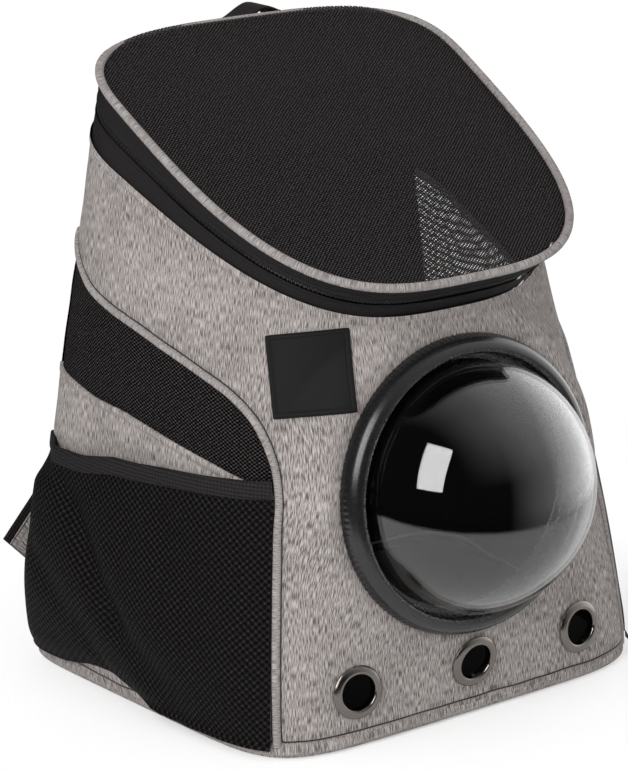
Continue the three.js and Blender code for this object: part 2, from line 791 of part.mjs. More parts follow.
// Grey gusset: a plate from the back of the bag to the line of the webbing
function strapTab() {
  const half = new THREE.Vector3(0, tabThickness / 2, 0);
  const edge = (from, length) => [from, from.clone().addScaledVector(webRun, length)];
  const foot = tipPoint.clone().addScaledVector(webDown, tabDepth);
  const rootOut = gap * 2 + tabThickness / 2;
  const top = edge(tipPoint, tabLength);
  const root = edge(foot, tabLength / 2).map((point) => behind(point.x, point.z, rootOut));
  return loft([root, top].map(([a, b]) => [
    a.clone().add(half), b.clone().add(half), b.clone().sub(half), a.clone().sub(half)]));
}

const webBehind = tabThickness / 2 + gap + webThickness / 2;
const webStart = tipPoint.clone().addScaledVector(webDown, webWidth / 2 - webShow)
  .add(new THREE.Vector3(0, webBehind, 0));
const webEnd = webStart.clone().addScaledVector(webRun, webLength);

function strapWeb() {
  return strip([0, 1 / 3, 2 / 3, 1].map((t) => ({
    at: webStart.clone().lerp(webEnd, t), run: webRun, across: webDown,
    width: webWidth, thickness: webThickness,
  })));
}

const buckleCentre = webEnd.clone().addScaledVector(webRun, buckleLength / 2 + gap);
const strapEnd = buckleCentre.clone().addScaledVector(webRun, buckleLength / 2 + gap);

// Shoulder strap from its root at the top of the back to the buckle.
// down, across and out are shares of the drop, of the sideways spread and of strapReach.
const strapRun = [
  { down: 0, out: 0.05, across: 0, width: 0.9 }, { down: -0.05, out: 0.34, across: 0, width: 0.96 },
  { down: -0.03, out: 0.72, across: 0.01, width: 1 }, { down: 0.08, out: 0.97, across: 0.04, width: 1 },
  { down: 0.26, out: 1.06, across: 0.1, width: 1 }, { down: 0.46, out: 1.02, across: 0.2, width: 1 },
  { down: 0.65, out: 0.86, across: 0.37, width: 0.92 }, { down: 0.8, out: 0.68, across: 0.57, width: 0.8 },
];

const strapTop = mouthBackHeight - strapBelowMouth;

function strap() {
  const drop = strapTop - strapEnd.z;
  const sideways = -strapEnd.x - strapInset;
  const places = strapRun.map((row) => offBack(
    -(strapInset + sideways * row.across), strapTop - drop * row.down, gap + strapReach * row.out));
  places[0].y = behind(-strapInset + strapWidth / 2, strapTop, 3 * gap).y;
  const lead = strapEnd.clone().addScaledVector(webRun, strapEndWidth / 3);
  const path = new THREE.CatmullRomCurve3([...places, lead, strapEnd], false, 'centripetal');
  const widths = strapRun.map((row, i) => ({ at: i / (places.length + 1), width: row.width }));
  const level = new THREE.Vector3(1, 0, 0);
  const ends = { 0: new THREE.Vector3(0, 1, 0), 1: webRun.clone().negate() };
  const rows = spread(0, 1, 14).map((t) => ({
    at: path.getPoint(t),
    run: ends[t] ?? path.getTangent(t),
    across: level.clone().lerp(webDown, t * t),
    width: lerp(strapWidth * tableAt(widths, 'at', t, 'width'), strapEndWidth, t ** 6),
    thickness: strapThickness * (t > 0.96 || t < 0.03 ? 0.8 : 1),
  }));
  return strip(rows, 0.9);
}

function buckle() {
  const plate = new THREE.Shape();
  const w = buckleWidth / 2;
  const h = buckleLength / 2;
  const cut = buckleBar * 0.7;
  plate.moveTo(-w + cut, -h);
  plate.lineTo(w - cut, -h);
  plate.lineTo(w, -h + cut);
  plate.lineTo(w, h - cut);
  plate.lineTo(w - cut, h);
  plate.lineTo(-w + cut, h);
  plate.lineTo(-w, h - cut);
  plate.lineTo(-w, -h + cut);
  plate.closePath();
  const slotHeight = (buckleLength - 3 * buckleBar) / 2;
  [-1, 1].forEach((side) => {
    const middle = side * (buckleBar + slotHeight) / 2;
    const hole = new THREE.Path();
    hole.moveTo(-w + buckleBar, middle - slotHeight / 2);
    hole.lineTo(-w + buckleBar, middle + slotHeight / 2);
    hole.lineTo(w - buckleBar, middle + slotHeight / 2);
    hole.lineTo(w - buckleBar, middle - slotHeight / 2);
    hole.closePath();
    plate.holes.push(hole);
  });
  const geometry = new THREE.ExtrudeGeometry(plate, { depth: buckleThickness, bevelEnabled: false });
  geometry.translate(0, 0, -buckleThickness / 2);
  const face = webDown.clone().cross(webRun).normalize();
  geometry.applyMatrix4(new THREE.Matrix4().makeBasis(webRun.clone().cross(face), webRun, face));
  geometry.translate(buckleCentre.x, buckleCentre.y, buckleCentre.z);
  return geometry;
}

// Carry handle: a loop of webbing that stands off the top of the back and turns flat at its roots
const handleRun = [
  { across: -1, out: 0, up: 0, turn: 0 }, { across: -0.99, out: 0.25, up: 0.3, turn: 0.35 },
  { across: -0.88, out: 0.8, up: 0.56, turn: 0.9 }, { across: -0.45, out: 1, up: 0.7, turn: 1 },
  { across: 0.1, out: 1, up: 0.86, turn: 1 }, { across: 0.6, out: 1, up: 0.99, turn: 1 },
  { across: 0.9, out: 0.95, up: 0.9, turn: 0.95 }, { across: 1, out: 0.5, up: 0.55, turn: 0.6 },
  { across: 1, out: 0.15, up: 0.22, turn: 0.2 }, { across: 1, out: 0, up: 0, turn: 0 },
];

function handle() {
  const half = handleSpan / 2;
  const places = handleRun.map((row) => {
    const x = row.across * half;
    const z = mouthBackHeight - handleBelowMouth + row.up * handleRise;
    return offBack(x, z, 2 * gap + handleThickness / 2 + row.out * handleReach);
  });
  const path = new THREE.CatmullRomCurve3(places, false, 'centripetal');
  const turns = handleRun.map((row, i) => ({ at: i / (handleRun.length - 1), turn: row.turn }));
  const rows = spread(0, 1, 20).map((t) => {
    const turn = tableAt(turns, 'at', t, 'turn') * Math.PI / 2;
    const lean = t < 0.5 ? 1 : -1;
    return {
      at: path.getPoint(t), run: path.getTangent(t),
      across: new THREE.Vector3(lean * Math.cos(turn), Math.sin(turn), 0),
      width: webWidth, thickness: handleThickness,
    };
  });
  return strip(rows);
}

// Colours seen on the real thing
const looks = {
  heather: { color: 0x8b8481, roughness: 0.92, metalness: 0 },
  edging: { color: 0x9b9592, roughness: 0.88, metalness: 0 },
  net: { color: 0x1b191a, roughness: 0.85, metalness: 0 },
  tape: { color: 0x1a1819, roughness: 0.8, metalness: 0 },
  plastic: { color: 0x161616, roughness: 0.38, metalness: 0 },
  clear: { color: 0xd9dcde, roughness: 0.05, metalness: 0 },
  nickel: { color: 0x8f8b86, roughness: 0.3, metalness: 1 },
  rubber: { color: 0x141415, roughness: 0.6, metalness: 0 },
};

const carrier = new THREE.Group();

function add(name, geometry, look) {
  geometry.deleteAttribute('uv');
  geometry.computeVertexNormals();
  const mesh = new THREE.Mesh(geometry, new THREE.MeshStandardMaterial(looks[look]));
  mesh.name = name;
  carrier.add(mesh);
}

function addPair(name, geometry, look) {
  const right = mirrored(geometry);
  add(`${name}_left`, geometry, look);
  add(`${name}_right`, right, look);
}

add('front_panel', fromSolid(frontPanel), 'heather');
add('back_panel', fromSolid(backPanel), 'heather');
addPair('side_panel', fromSolid(sidePanel), 'heather');
addPair('side_window', fromSolid(sideWindow), 'net');
addPair('side_piping', sidePipingCord(), 'edging');
add('base_panel', basePanel(), 'heather');
add('base_piping', baseRoll(), 'edging');
add('zip_tape_lower', lowerTape(), 'tape');
add('zip_coil', zipCoil(), 'plastic');
add('zip_tape_upper', upperTape(), 'tape');
add('zip_slider', zipSlider(), 'nickel');
add('lid_piping', lidRoll(), 'edging');
add('lid_net', lidNet(), 'net');
add('bubble_ring', bubbleRing(), 'plastic');
add('bubble_dome', bubble(), 'clear');
['left', 'middle', 'right'].forEach((place, i) => add(`eyelet_${place}`, eyelet(eyelets[i]), 'nickel'));
add('front_badge', badgePatch(0, [2 * gap, 2 * gap + badgeThickness]), 'rubber');
addPair('side_pocket', sidePocket(), 'net');
addPair('pocket_band', pocketBand(), 'tape');
addPair('shoulder_strap', strap(), 'heather');
addPair('strap_web', strapWeb(), 'tape');
addPair('strap_buckle', buckle(), 'plastic');
addPair('strap_tab', strapTab(), 'heather');
add('carry_handle', handle(), 'tape');

export default carrier;
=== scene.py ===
# Pet carrier backpack with a clear bubble window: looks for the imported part.
import math

import bmesh
import bpy
import numpy as np
from mathutils import Matrix, Vector


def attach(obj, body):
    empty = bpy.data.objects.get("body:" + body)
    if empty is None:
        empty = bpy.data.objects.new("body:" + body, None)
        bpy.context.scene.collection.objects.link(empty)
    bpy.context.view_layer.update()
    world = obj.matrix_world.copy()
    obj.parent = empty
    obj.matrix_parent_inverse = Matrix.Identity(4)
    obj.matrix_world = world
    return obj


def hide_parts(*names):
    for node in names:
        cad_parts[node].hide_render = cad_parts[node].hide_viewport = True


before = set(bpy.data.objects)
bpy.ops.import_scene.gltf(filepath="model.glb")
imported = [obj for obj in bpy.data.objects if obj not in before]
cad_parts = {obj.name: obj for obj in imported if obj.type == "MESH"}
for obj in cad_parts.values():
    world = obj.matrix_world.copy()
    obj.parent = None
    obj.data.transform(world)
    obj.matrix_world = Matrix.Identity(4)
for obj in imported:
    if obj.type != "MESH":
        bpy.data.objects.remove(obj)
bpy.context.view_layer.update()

toMetres = 0.001
bothSides = ((1, "left"), (-1, "right"))

# Sizes in millimetres, the same as the part's own
body = {"bulge": 4.7, "tuck": 3.5, "tuckHeight": 30, "backSeam": 138}
base = {"width": 340, "middle": 0, "front": 139.5, "back": 139.5, "squareFront": 6.5,
        "squareBack": 9, "splay": 0.094, "frontHeight": 0, "backHeight": 0}
mouth = {"width": 284, "middle": 0.337, "front": 118, "back": 122.5, "squareFront": 3.29,
         "squareBack": 2.82, "splay": 0.207, "frontHeight": 272.5, "backHeight": 386}
lid = {"width": 277, "middle": 0.354, "front": 140.5, "back": 115.5, "squareFront": 3.27,
       "squareBack": 3.27, "splay": 0.053, "frontHeight": 297, "backHeight": 426}
bubble = {"radius": 85, "wall": 2.2, "height": 158, "ring": 98.5, "rise": 14.5, "flat": 5, "fade": 26}
eyelet = {"edge": 17.75, "bore": 11.7, "spacing": 91, "height": 38}
badge = {"size": 53, "thickness": 1.8, "angle": 228.25, "share": 0.856, "turn": 5}

# Seam, sill and pocket edges: the angle round the wall in degrees, and the share of its height
wingSeam = np.array([
    (138, 0.8), (149, 0.776), (160, 0.754), (175, 0.747), (190, 0.751), (203, 0.753),
    (211.5, 0.745), (216.5, 0.722), (219.5, 0.687), (221.3, 0.648), (222.4, 0.58), (222.8, 0.5),
    (223.1, 0.36), (223.4, 0.2), (224, 0)])
windowSill = np.array([(138, 0.558), (164, 0.56), (190, 0.575), (208, 0.585), (224, 0.583)])
pocketTop = np.array([
    (138, 0.431), (148, 0.433), (165.5, 0.458), (188.6, 0.507), (206.6, 0.557), (215, 0.583), (223, 0.609)])
pocketFoot = np.array([
    (138, 0.03), (152, 0.034), (164, 0.054), (172, 0.055), (180, 0.044), (187.4, 0.031), (196, 0.025),
    (223, 0.026)])


def tableAt(rows, at):
    return np.interp(at, rows[:, 0], rows[:, 1])


def smoothStep(value, low, high):
    t = np.clip((value - low) / (high - low), 0, 1)
    return t * t * (3 - 2 * t)


def unit(v):
    return v / np.maximum(np.linalg.norm(v, axis=-1, keepdims=True), 1e-9)


def runLength(points):
    return np.append(0, np.cumsum(np.linalg.norm(np.diff(points, axis=0), axis=1)))


# Smooth curve through points, with knots spaced by the root of their distance
def curveThrough(points, count):
    p = np.asarray(points, float)
    p = np.vstack([2 * p[0] - p[1], p, 2 * p[-1] - p[-2]])
    knots = np.concatenate([[0], np.cumsum(np.sqrt(np.linalg.norm(np.diff(p, axis=0), axis=1)))])
    out = []
    spans = len(p) - 3
    for t in np.linspace(0, spans, count):
        i = min(int(t), spans - 1)
        k = knots[i:i + 4]
        q = p[i:i + 4]
        at = k[1] + (k[2] - k[1]) * (t - i)
        a = [(q[j] * (k[j + 1] - at) + q[j + 1] * (at - k[j])) / (k[j + 1] - k[j]) for j in range(3)]
        b = [(a[j] * (k[j + 2] - at) + a[j + 1] * (at - k[j])) / (k[j + 2] - k[j]) for j in range(2)]
        out.append((b[0] * (k[2] - at) + b[1] * (at - k[1])) / (k[2] - k[1]))
    return np.array(out)


def evenAlong(points, count):
    far = runLength(points)
    at = np.linspace(0, far[-1], count)
    return np.stack([np.interp(at, far, points[:, i]) for i in range(points.shape[1])], -1)


# Soft wandering field, about -1 to 1, from waves in fixed directions
def wander(points, size, seed):
    rng = np.random.default_rng(seed)
    total = 0
    for i in range(9):
        way = rng.normal(size=3)
        way *= 2 * math.pi / (size * rng.uniform(0.7, 1.6)) / np.linalg.norm(way)
        total = total + np.sin(points @ way + rng.uniform(0, 6.28))
    return total / 3.6


# Waves from a row of height, size and seed
def waves(points, row):
    return row[0] * wander(points, row[1], row[2])


# Ridge from a row of height, distance from an edge and width
def ridge(value, row):
    return row[0] * np.exp(-((value - row[1]) / row[2]) ** 2)


def planeHeight(ring, y):
    share = (y + ring["front"]) / (ring["front"] + ring["back"])
    return ring["frontHeight"] + (ring["backHeight"] - ring["frontHeight"]) * share


def outlinePoint(ring, angle):
    across, along = np.cos(np.radians(angle)), np.sin(np.radians(angle))
    square = np.where(along < 0, ring["squareFront"], ring["squareBack"])
    middle = ring["back"] * ring["middle"]
    reach = np.where(along < 0, ring["front"] + middle, ring["back"] - middle)
    radius = (abs(across) ** square + abs(along) ** square) ** (-1 / square)
    local = reach * along * radius
    half = ring["width"] / 2 * (1 + ring["splay"] * local / (ring["front"] + middle))
    y = middle + local
    return np.stack([half * across * radius, y, planeHeight(ring, y)], -1)


def looseWall(angle, height):
    h = np.asarray(height, float)[..., None]
    point = outlinePoint(base, angle) * (1 - h) + outlinePoint(mouth, angle) * h
    fromTuck = np.clip(1 - point[..., 2] / body["tuckHeight"], 0, 1)
    swell = 4 * body["bulge"] * height * (1 - height) + body["tuck"] * (1 - height - fromTuck ** 2)
    point[..., 0] += swell * np.cos(np.radians(angle))
    point[..., 1] += swell * np.sin(np.radians(angle))
    return point


ringShare = bubble["height"] / mouth["frontHeight"]
ringCentre, ringAbove, ringBelow = (looseWall(np.array(-90.0), np.array(ringShare + step))
                                    for step in (0, 0.01, -0.01))
ringUp = unit(ringAbove - ringBelow)
ringAxis = np.array([0, -ringUp[2], ringUp[1]])


# How far points are above the plane of the ring, and how far from its axis
def ringReach(points):
    offset = points - ringCentre
    above = offset @ ringAxis
    return above, np.linalg.norm(offset - above[..., None] * ringAxis, axis=-1)


# Wall of the bag, drawn flat round the ring of the bubble
def wallSurface(angle, height):
    point = looseWall(angle, height)
    above, reach = ringReach(point)
    flat = bubble["ring"] + bubble["flat"]
    hold = (1 - smoothStep(reach, flat, flat + bubble["fade"])) * (point[..., 1] < 0)
    return point - (above * hold)[..., None] * ringAxis


def wallNormal(angle, height):
    around = wallSurface(angle + 0.5, height) - wallSurface(angle - 0.5, height)
    up = wallSurface(angle, height + 0.01) - wallSurface(angle, height - 0.01)
    return unit(np.cross(around, up))


def wallHeight(angle):
    return outlinePoint(mouth, angle)[..., 2]


def wallAngle(low, high, height, x):
    for _ in range(40):
        middle = (low + high) / 2
        if wallSurface(np.array(middle), np.array(height))[0] < x:
            low = middle
        else:
            high = middle
    return (low + high) / 2


# Distance round the body, for weave that keeps its size
aroundAngles = np.linspace(0, 540, 2161)
aroundPoints = outlinePoint(base, aroundAngles) * 0.5 + outlinePoint(mouth, aroundAngles) * 0.5
aroundPoints[:, 2] = 0
aroundFar = runLength(aroundPoints)


def flatPlace(angle, height):
    return np.stack([np.interp(angle, aroundAngles, aroundFar), wallHeight(angle) * height], -1)


eyeletShare = np.array(eyelet["height"] / mouth["frontHeight"])
eyeletSpots = []
for side in (-1, 0, 1):
    spotAngle = np.array(wallAngle(-150.0, -30.0, eyeletShare, side * eyelet["spacing"]))
    eyeletSpots.append((wallSurface(spotAngle, eyeletShare), wallNormal(spotAngle, eyeletShare)))


def pieceFrom(name, mesh, material):
    mesh.materials.append(material)
    piece = bpy.data.objects.new("shown_" + name.replace(" ", "_"), mesh)
    bpy.context.collection.objects.link(piece)
    return piece


# One mesh from grids of points, with a flat layout for the weave and the distance to a seam
def meshFrom(name, grids, material, sharp=None):
    verts, quads, flats, nears, start = [], [], [], [], 0
    for grid in grids:
        points = grid["points"]
        n, m = points.shape[:2]
        ids = start + np.arange(n * m).reshape(n, m)
        if grid.get("closedU"):
            ids = np.vstack([ids, ids[:1]])
        if grid.get("closedV"):
            ids = np.hstack([ids, ids[:, :1]])
        quad = np.stack([ids[:-1, :-1], ids[1:, :-1], ids[1:, 1:], ids[:-1, 1:]], -1)
        flat = grid.get("flat")
        if flat is None:
            flat = np.zeros((ids.shape[0], ids.shape[1], 2))
        flatQuad = np.stack([flat[:-1, :-1], flat[1:, :-1], flat[1:, 1:], flat[:-1, 1:]], 2)
        quad, flatQuad = quad.reshape(-1, 4), flatQuad.reshape(-1, 4, 2)
        if grid.get("keep") is not None:
            chosen = grid["keep"].reshape(-1)
            quad, flatQuad = quad[chosen], flatQuad[chosen]
        if grid.get("flip"):
            quad, flatQuad = quad[:, ::-1], flatQuad[:, ::-1]
        verts.append(points.reshape(-1, 3))
        nears.append(np.broadcast_to(grid.get("near", 99.0), points.shape[:2]).reshape(-1))
        quads.append(quad)
        flats.append(flatQuad)
        start += n * m
    verts, quads, flats = np.concatenate(verts), np.concatenate(quads), np.concatenate(flats)
    mesh = bpy.data.meshes.new(name)
    mesh.vertices.add(len(verts))
    mesh.vertices.foreach_set("co", (verts * toMetres).astype(np.float32).ravel())
    mesh.loops.add(quads.size)
    mesh.loops.foreach_set("vertex_index", quads.astype(np.int32).ravel())
    mesh.polygons.add(len(quads))
    mesh.polygons.foreach_set("loop_start", np.arange(0, quads.size, 4, dtype=np.int32))
    layer = mesh.uv_layers.new(name="flat")
    near = mesh.attributes.new("seam", "FLOAT", "POINT")
    mesh.update(calc_edges=True)
    near.data.foreach_set("value", np.concatenate(nears).astype(np.float32))
    layer.uv.foreach_set("vector", (flats * toMetres).astype(np.float32).ravel())
    work = bmesh.new()
    work.from_mesh(mesh)
    bmesh.ops.remove_doubles(work, verts=work.verts, dist=2e-5)
    bmesh.ops.dissolve_degenerate(work, edges=work.edges, dist=1e-6)
    loose = [v for v in work.verts if not v.link_faces]
    bmesh.ops.delete(work, geom=loose, context="VERTS")
    for face in work.faces:
        face.smooth = True
    work.to_mesh(mesh)
    work.free()
    if sharp:
        mesh.set_sharp_from_angle(angle=math.radians(sharp))
    return pieceFrom(name, mesh, material)


def finishPiece(piece, slot, *nodes):
    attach(piece, "root")
    if nodes:
        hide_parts(*nodes)
    return piece


def addPiece(name, grids, material, slot, *nodes):
    return finishPiece(meshFrom(name, grids, material), slot, *nodes)


def flipGrid(grid):
    points = grid["points"] * np.array([-1, 1, 1])
    return {**grid, "points": points, "flip": not grid.get("flip", False)}


def flatRows(far, across):
    return np.stack(np.meshgrid(far, across, indexing="ij"), -1)


def sided(grids, side):
    return grids if side > 0 else [flipGrid(grid) for grid in grids]


# Tube along points; deep scales its round section
def tube(points, normals, radius, sides, closed=False, deep=1.0, ripple=None):
    if closed:
        run = unit(np.roll(points, -1, 0) - np.roll(points, 1, 0))
    else:
        run = unit(np.gradient(points, axis=0))
    side = unit(np.cross(run, normals))
    out = np.cross(side, run)
    turn = np.linspace(0, 2 * math.pi, sides, endpoint=False)
    r = np.broadcast_to(np.asarray(radius, float), len(points))[:, None, None]
    ring = side[:, None] * np.cos(turn)[None, :, None] + out[:, None] * (np.sin(turn) * deep)[None, :, None]
    grid = points[:, None] + ring * r
    if ripple:
        grid = grid + ring * waves(grid, ripple)[..., None]
    far = runLength(points)
    if closed:
        far = np.append(far, far[-1] + np.linalg.norm(points[0] - points[-1]))
    lap = np.linspace(0, 2 * math.pi * float(np.mean(radius)), sides + 1)
    return {"points": grid, "closedU": closed, "closedV": True, "flat": flatRows(far, lap), "flip": True}


def endCaps(grid):
    points = grid["points"]
    caps = []
    for end, flip in ((0, False), (-1, True)):
        ring = points[end]
        centre = ring.mean(0)
        caps.append({"points": np.stack([ring, ring * 0.02 + centre * 0.98]), "closedV": True,
                     "flip": flip != grid.get("flip", False)})
    return caps


# Closed ring turned from a profile of radius and height
def turned(profile, steps, centre, axis, shape=None):
    up = unit(np.array([0, 0, 1.0]) - axis * axis[2])
    across = np.cross(up, axis)
    turn = np.linspace(0, 2 * math.pi, steps, endpoint=False)
    profile = np.array(profile, float)
    r = np.broadcast_to(profile[None, :, 0], (steps, len(profile)))
    h = np.broadcast_to(profile[None, :, 1], (steps, len(profile)))
    if shape:
        r, h = shape(turn[:, None], r, h)
    points = (centre + (r * np.cos(turn)[:, None])[..., None] * across
              + (r * np.sin(turn)[:, None])[..., None] * up + h[..., None] * axis)
    return {"points": points, "closedU": True, "closedV": True, "flip": True}


# Rounds the corners of a profile
def rounded(profile, radius, steps=4, closed=True):
    p = np.array(profile, float)
    out = []
    count = len(p)
    for i in range(count):
        if not closed and i in (0, count - 1):
            out.append(p[i])
            continue
        before, here, after = p[i - 1], p[i], p[(i + 1) % count]
        a, b = before - here, after - here
        cut = min(radius, 0.45 * np.linalg.norm(a), 0.45 * np.linalg.norm(b))
        start, stop = here + unit(a) * cut, here + unit(b) * cut
        for t in np.linspace(0, 1, steps):
            out.append((1 - t) ** 2 * start + 2 * t * (1 - t) * here + t * t * stop)
    return np.array(out)


# Band of cloth or webbing with a rounded section along rows
def band(centres, across, width, thickness, runs=None, sides=20, puff=0.0):
    run = unit(np.gradient(centres, axis=0)) if runs is None else runs
    face = unit(np.cross(run, across))
    side = np.cross(face, run)
    turn = np.linspace(0, 2 * math.pi, sides, endpoint=False)
    square = 0.35 + 0.5 * puff
    u = np.sign(np.cos(turn)) * abs(np.cos(turn)) ** square
    v = np.sign(np.sin(turn)) * abs(np.sin(turn)) ** square
    w = np.broadcast_to(width, len(centres))[:, None, None] / 2
    t = np.broadcast_to(thickness, len(centres))[:, None, None] / 2
    points = centres[:, None] + side[:, None] * u[None, :, None] * w + face[:, None] * v[None, :, None] * t
    lap = np.append(u, u[0]) * float(np.mean(width)) / 2
    return {"points": points, "closedV": True, "flat": flatRows(runLength(centres), lap)}


# Node tree with short calls for the nodes used most
class Nodes:
    def __init__(self, tree):
        self.tree = tree

    def feed(self, socket, value):
        if isinstance(value, bpy.types.NodeSocket):
            self.tree.links.new(value, socket)
        else:
            socket.default_value = value

    def add(self, kind, inputs=None, **settings):
        made = self.tree.nodes.new("ShaderNode" + kind)
        for key, value in settings.items():
            setattr(made, key, value)
        for key, value in (inputs or {}).items():
            self.feed(made.inputs[key], value)
        return made

    def math(self, operation, *values):
        return self.add("Math", dict(enumerate(values)), operation=operation).outputs[0]

    def vector(self, operation, *values):
        made = self.add("VectorMath", dict(enumerate(values)), operation=operation)
        return made.outputs["Value" if operation == "LENGTH" else "Vector"]

    def ramp(self, value, low, high, start=0.0, stop=1.0):
        return self.add("MapRange", {0: value, 1: low, 2: high, 3: start, 4: stop}).outputs[0]

    def mix(self, factor, first, second, blend="MIX"):
        made = self.add("Mix", data_type="RGBA", blend_type=blend)
        for label, value in (("Factor_Float", factor), ("A_Color", first), ("B_Color", second)):
            self.feed(next(s for s in made.inputs if s.identifier == label), value)
        return next(s for s in made.outputs if s.identifier == "Result_Color")

    def noise(self, vector, scale, detail=2.0, roughness=0.5):
        return self.add("TexNoise", {"Vector": vector, "Scale": scale, "Detail": detail,
                                     "Roughness": roughness}).outputs[0]

    def surface(self, shader):
        self.feed(self.tree.nodes["Material Output"].inputs["Surface"], shader.outputs[0])


def makeGroup(name, inputs, outputs):
    tree = bpy.data.node_groups.new(name, "ShaderNodeTree")
    tree.interface.new_socket(name="Vector", in_out="INPUT", socket_type="NodeSocketVector")
    for label, value in inputs.items():
        kind = "NodeSocketColor" if isinstance(value, tuple) else "NodeSocketFloat"
        tree.interface.new_socket(name=label, in_out="INPUT", socket_type=kind).default_value = value
    for label in outputs:
        kind = "NodeSocketColor" if label == "Color" else "NodeSocketFloat"
        tree.interface.new_socket(name=label, in_out="OUTPUT", socket_type=kind)
    return Nodes(tree), tree.nodes.new("NodeGroupInput").outputs, tree.nodes.new("NodeGroupOutput").inputs


# Heather weave: pale and dark threads, long ones up the cloth and short ones across
def heatherWeave():
    weave, given, out = makeGroup("heatherWeave", {
        "Dark": (0.085, 0.075, 0.071, 1), "Light": (0.36, 0.329, 0.316, 1)}, ("Color", "Height"))
    place = given["Vector"]
    up = weave.noise(weave.vector("MULTIPLY", place, (1.0, 0.085, 1.0)), 2050, 1, 0.5)
    across = weave.noise(weave.vector("MULTIPLY", place, (0.2, 1.0, 1.0)), 1700, 2, 0.6)
    threads = weave.math("ADD", weave.math("MULTIPLY", up, 0.9), weave.math("MULTIPLY", across, 0.1))
    cloud = weave.math("SUBTRACT", weave.noise(place, 26, 3, 0.55), 0.5)
    threads = weave.math("ADD", threads, weave.math("MULTIPLY", cloud, 0.16))
    weave.feed(out["Color"], weave.mix(weave.ramp(threads, 0.37, 0.63), given["Dark"], given["Light"]))
    acrossPlace = weave.add("SeparateXYZ", {0: place}).outputs[0]
    fine = weave.math("MULTIPLY", weave.math("SINE", weave.math("MULTIPLY", acrossPlace, 9000.0)), 0.15)
    weave.feed(out["Height"], weave.math("ADD", threads, fine))
    return weave.tree


# Net: holes in staggered rows, dark strands, and painted glints: pale spots on the knots between four holes
def netHoles():
    net, given, out = makeGroup("netHoles", {"Width": 0.0014, "Height": 0.0014, "Hole": 0.3, "Knots": 0.5},
                                ("Alpha", "Relief", "Color"))
    wobble = net.add("TexNoise", {"Vector": given["Vector"], "Scale": 60.0, "Detail": 1.0}).outputs["Color"]
    wobble = net.vector("MULTIPLY", wobble, (0.0012, 0.0012, 0.0))
    cell = net.add("CombineXYZ", {0: given["Width"], 1: given["Height"], 2: 1.0}).outputs[0]
    place = net.vector("DIVIDE", net.vector("ADD", given["Vector"], wobble), cell)
    reaches = []
    for shift in ((0.0, 0.0, 0.0), (0.5, 0.5, 0.0)):
        local = net.vector("FRACTION", net.vector("ADD", place, shift))
        local = net.vector("SUBTRACT", local, (0.5, 0.5, 0.0))
        reaches.append(net.vector("LENGTH", net.vector("MULTIPLY", local, (1.0, 1.0, 0.0))))
    fromHole = net.math("SUBTRACT", net.math("MINIMUM", *reaches), given["Hole"])
    net.feed(out["Alpha"], net.ramp(fromHole, -0.03, 0.05))
    net.feed(out["Relief"], net.ramp(fromHole, -0.08, 0.12))
    strands = net.noise(given["Vector"], 700, 2)
    color = net.mix(net.ramp(strands, 0.35, 0.65), (0.0032, 0.0027, 0.0027, 1), (0.0085, 0.0073, 0.0072, 1))
    # Painted highlight: pale glints on the knots, furthest from the holes
    knots = net.math("MULTIPLY", net.ramp(fromHole, 0.1, 0.26), net.ramp(strands, 0.3, 0.6))
    color = net.mix(net.math("MULTIPLY", knots, given["Knots"]), color, (0.11, 0.098, 0.098, 1))
    # Painted shade: the holes are near-black for the shaded space behind the net, which shows where the net
    # is not cut through (as on the pocket), and the strands darken at each hole's edge
    net.feed(out["Color"], net.mix(net.ramp(fromHole, -0.06, 0.06), (0.0008, 0.0008, 0.0008, 1), color))
    return net.tree


# Ribs across a tape or webbing
def tapeRibs():
    ribs, given, out = makeGroup("tapeRibs", {
        "Dark": (0.006, 0.0054, 0.0055, 1), "Light": (0.02, 0.018, 0.018, 1), "Pitch": 0.0016},
        ("Color", "Height"))
    place = ribs.add("SeparateXYZ", {0: given["Vector"]}).outputs
    waves = [ribs.math("MULTIPLY", ribs.math("SINE", ribs.math("DIVIDE", ribs.math(
        "MULTIPLY", place[axis], 6.2832), given["Pitch"])), height) for axis, height in ((1, 0.16), (0, 0.1))]
    level = ribs.math("ADD", ribs.math("ADD", *waves), ribs.noise(given["Vector"], 900, 2, 0.6))
    ribs.feed(out["Color"], ribs.mix(ribs.ramp(level, 0.25, 0.8), given["Dark"], given["Light"]))
    ribs.feed(out["Height"], level)
    return ribs.tree


# Fine grain and wear for moulded and metal pieces
def fineGrain():
    grain, given, out = makeGroup("fineGrain", {"Low": 0.3, "High": 0.42, "Size": 260.0},
                                  ("Roughness", "Height"))
    speck = grain.noise(given["Vector"], given["Size"], 3.0)
    grain.feed(out["Roughness"], grain.ramp(speck, 0.3, 0.7, given["Low"], given["High"]))
    grain.feed(out["Height"], speck)
    return grain.tree


heatherTree, netTree, ribTree, grainTree = heatherWeave(), netHoles(), tapeRibs(), fineGrain()


def newMaterial(name, **constants):
    material = bpy.data.materials.new(name)
    material.use_nodes = True
    shader = material.node_tree.nodes["Principled BSDF"]
    for key, value in constants.items():
        shader.inputs[key.replace("_", " ")].default_value = value
    return material, Nodes(material.node_tree), shader


def useGroup(nodes, group, vector, **values):
    return nodes.add("Group", {"Vector": vector, **values}, node_tree=group).outputs


def flatOf(nodes):
    return nodes.add("UVMap", uv_map="flat").outputs[0]


def bumpFrom(nodes, shader, height, distance, strength=1.0):
    made = nodes.add("Bump", {"Height": height, "Distance": distance, "Strength": strength})
    nodes.feed(shader.inputs["Normal"], made.outputs[0])
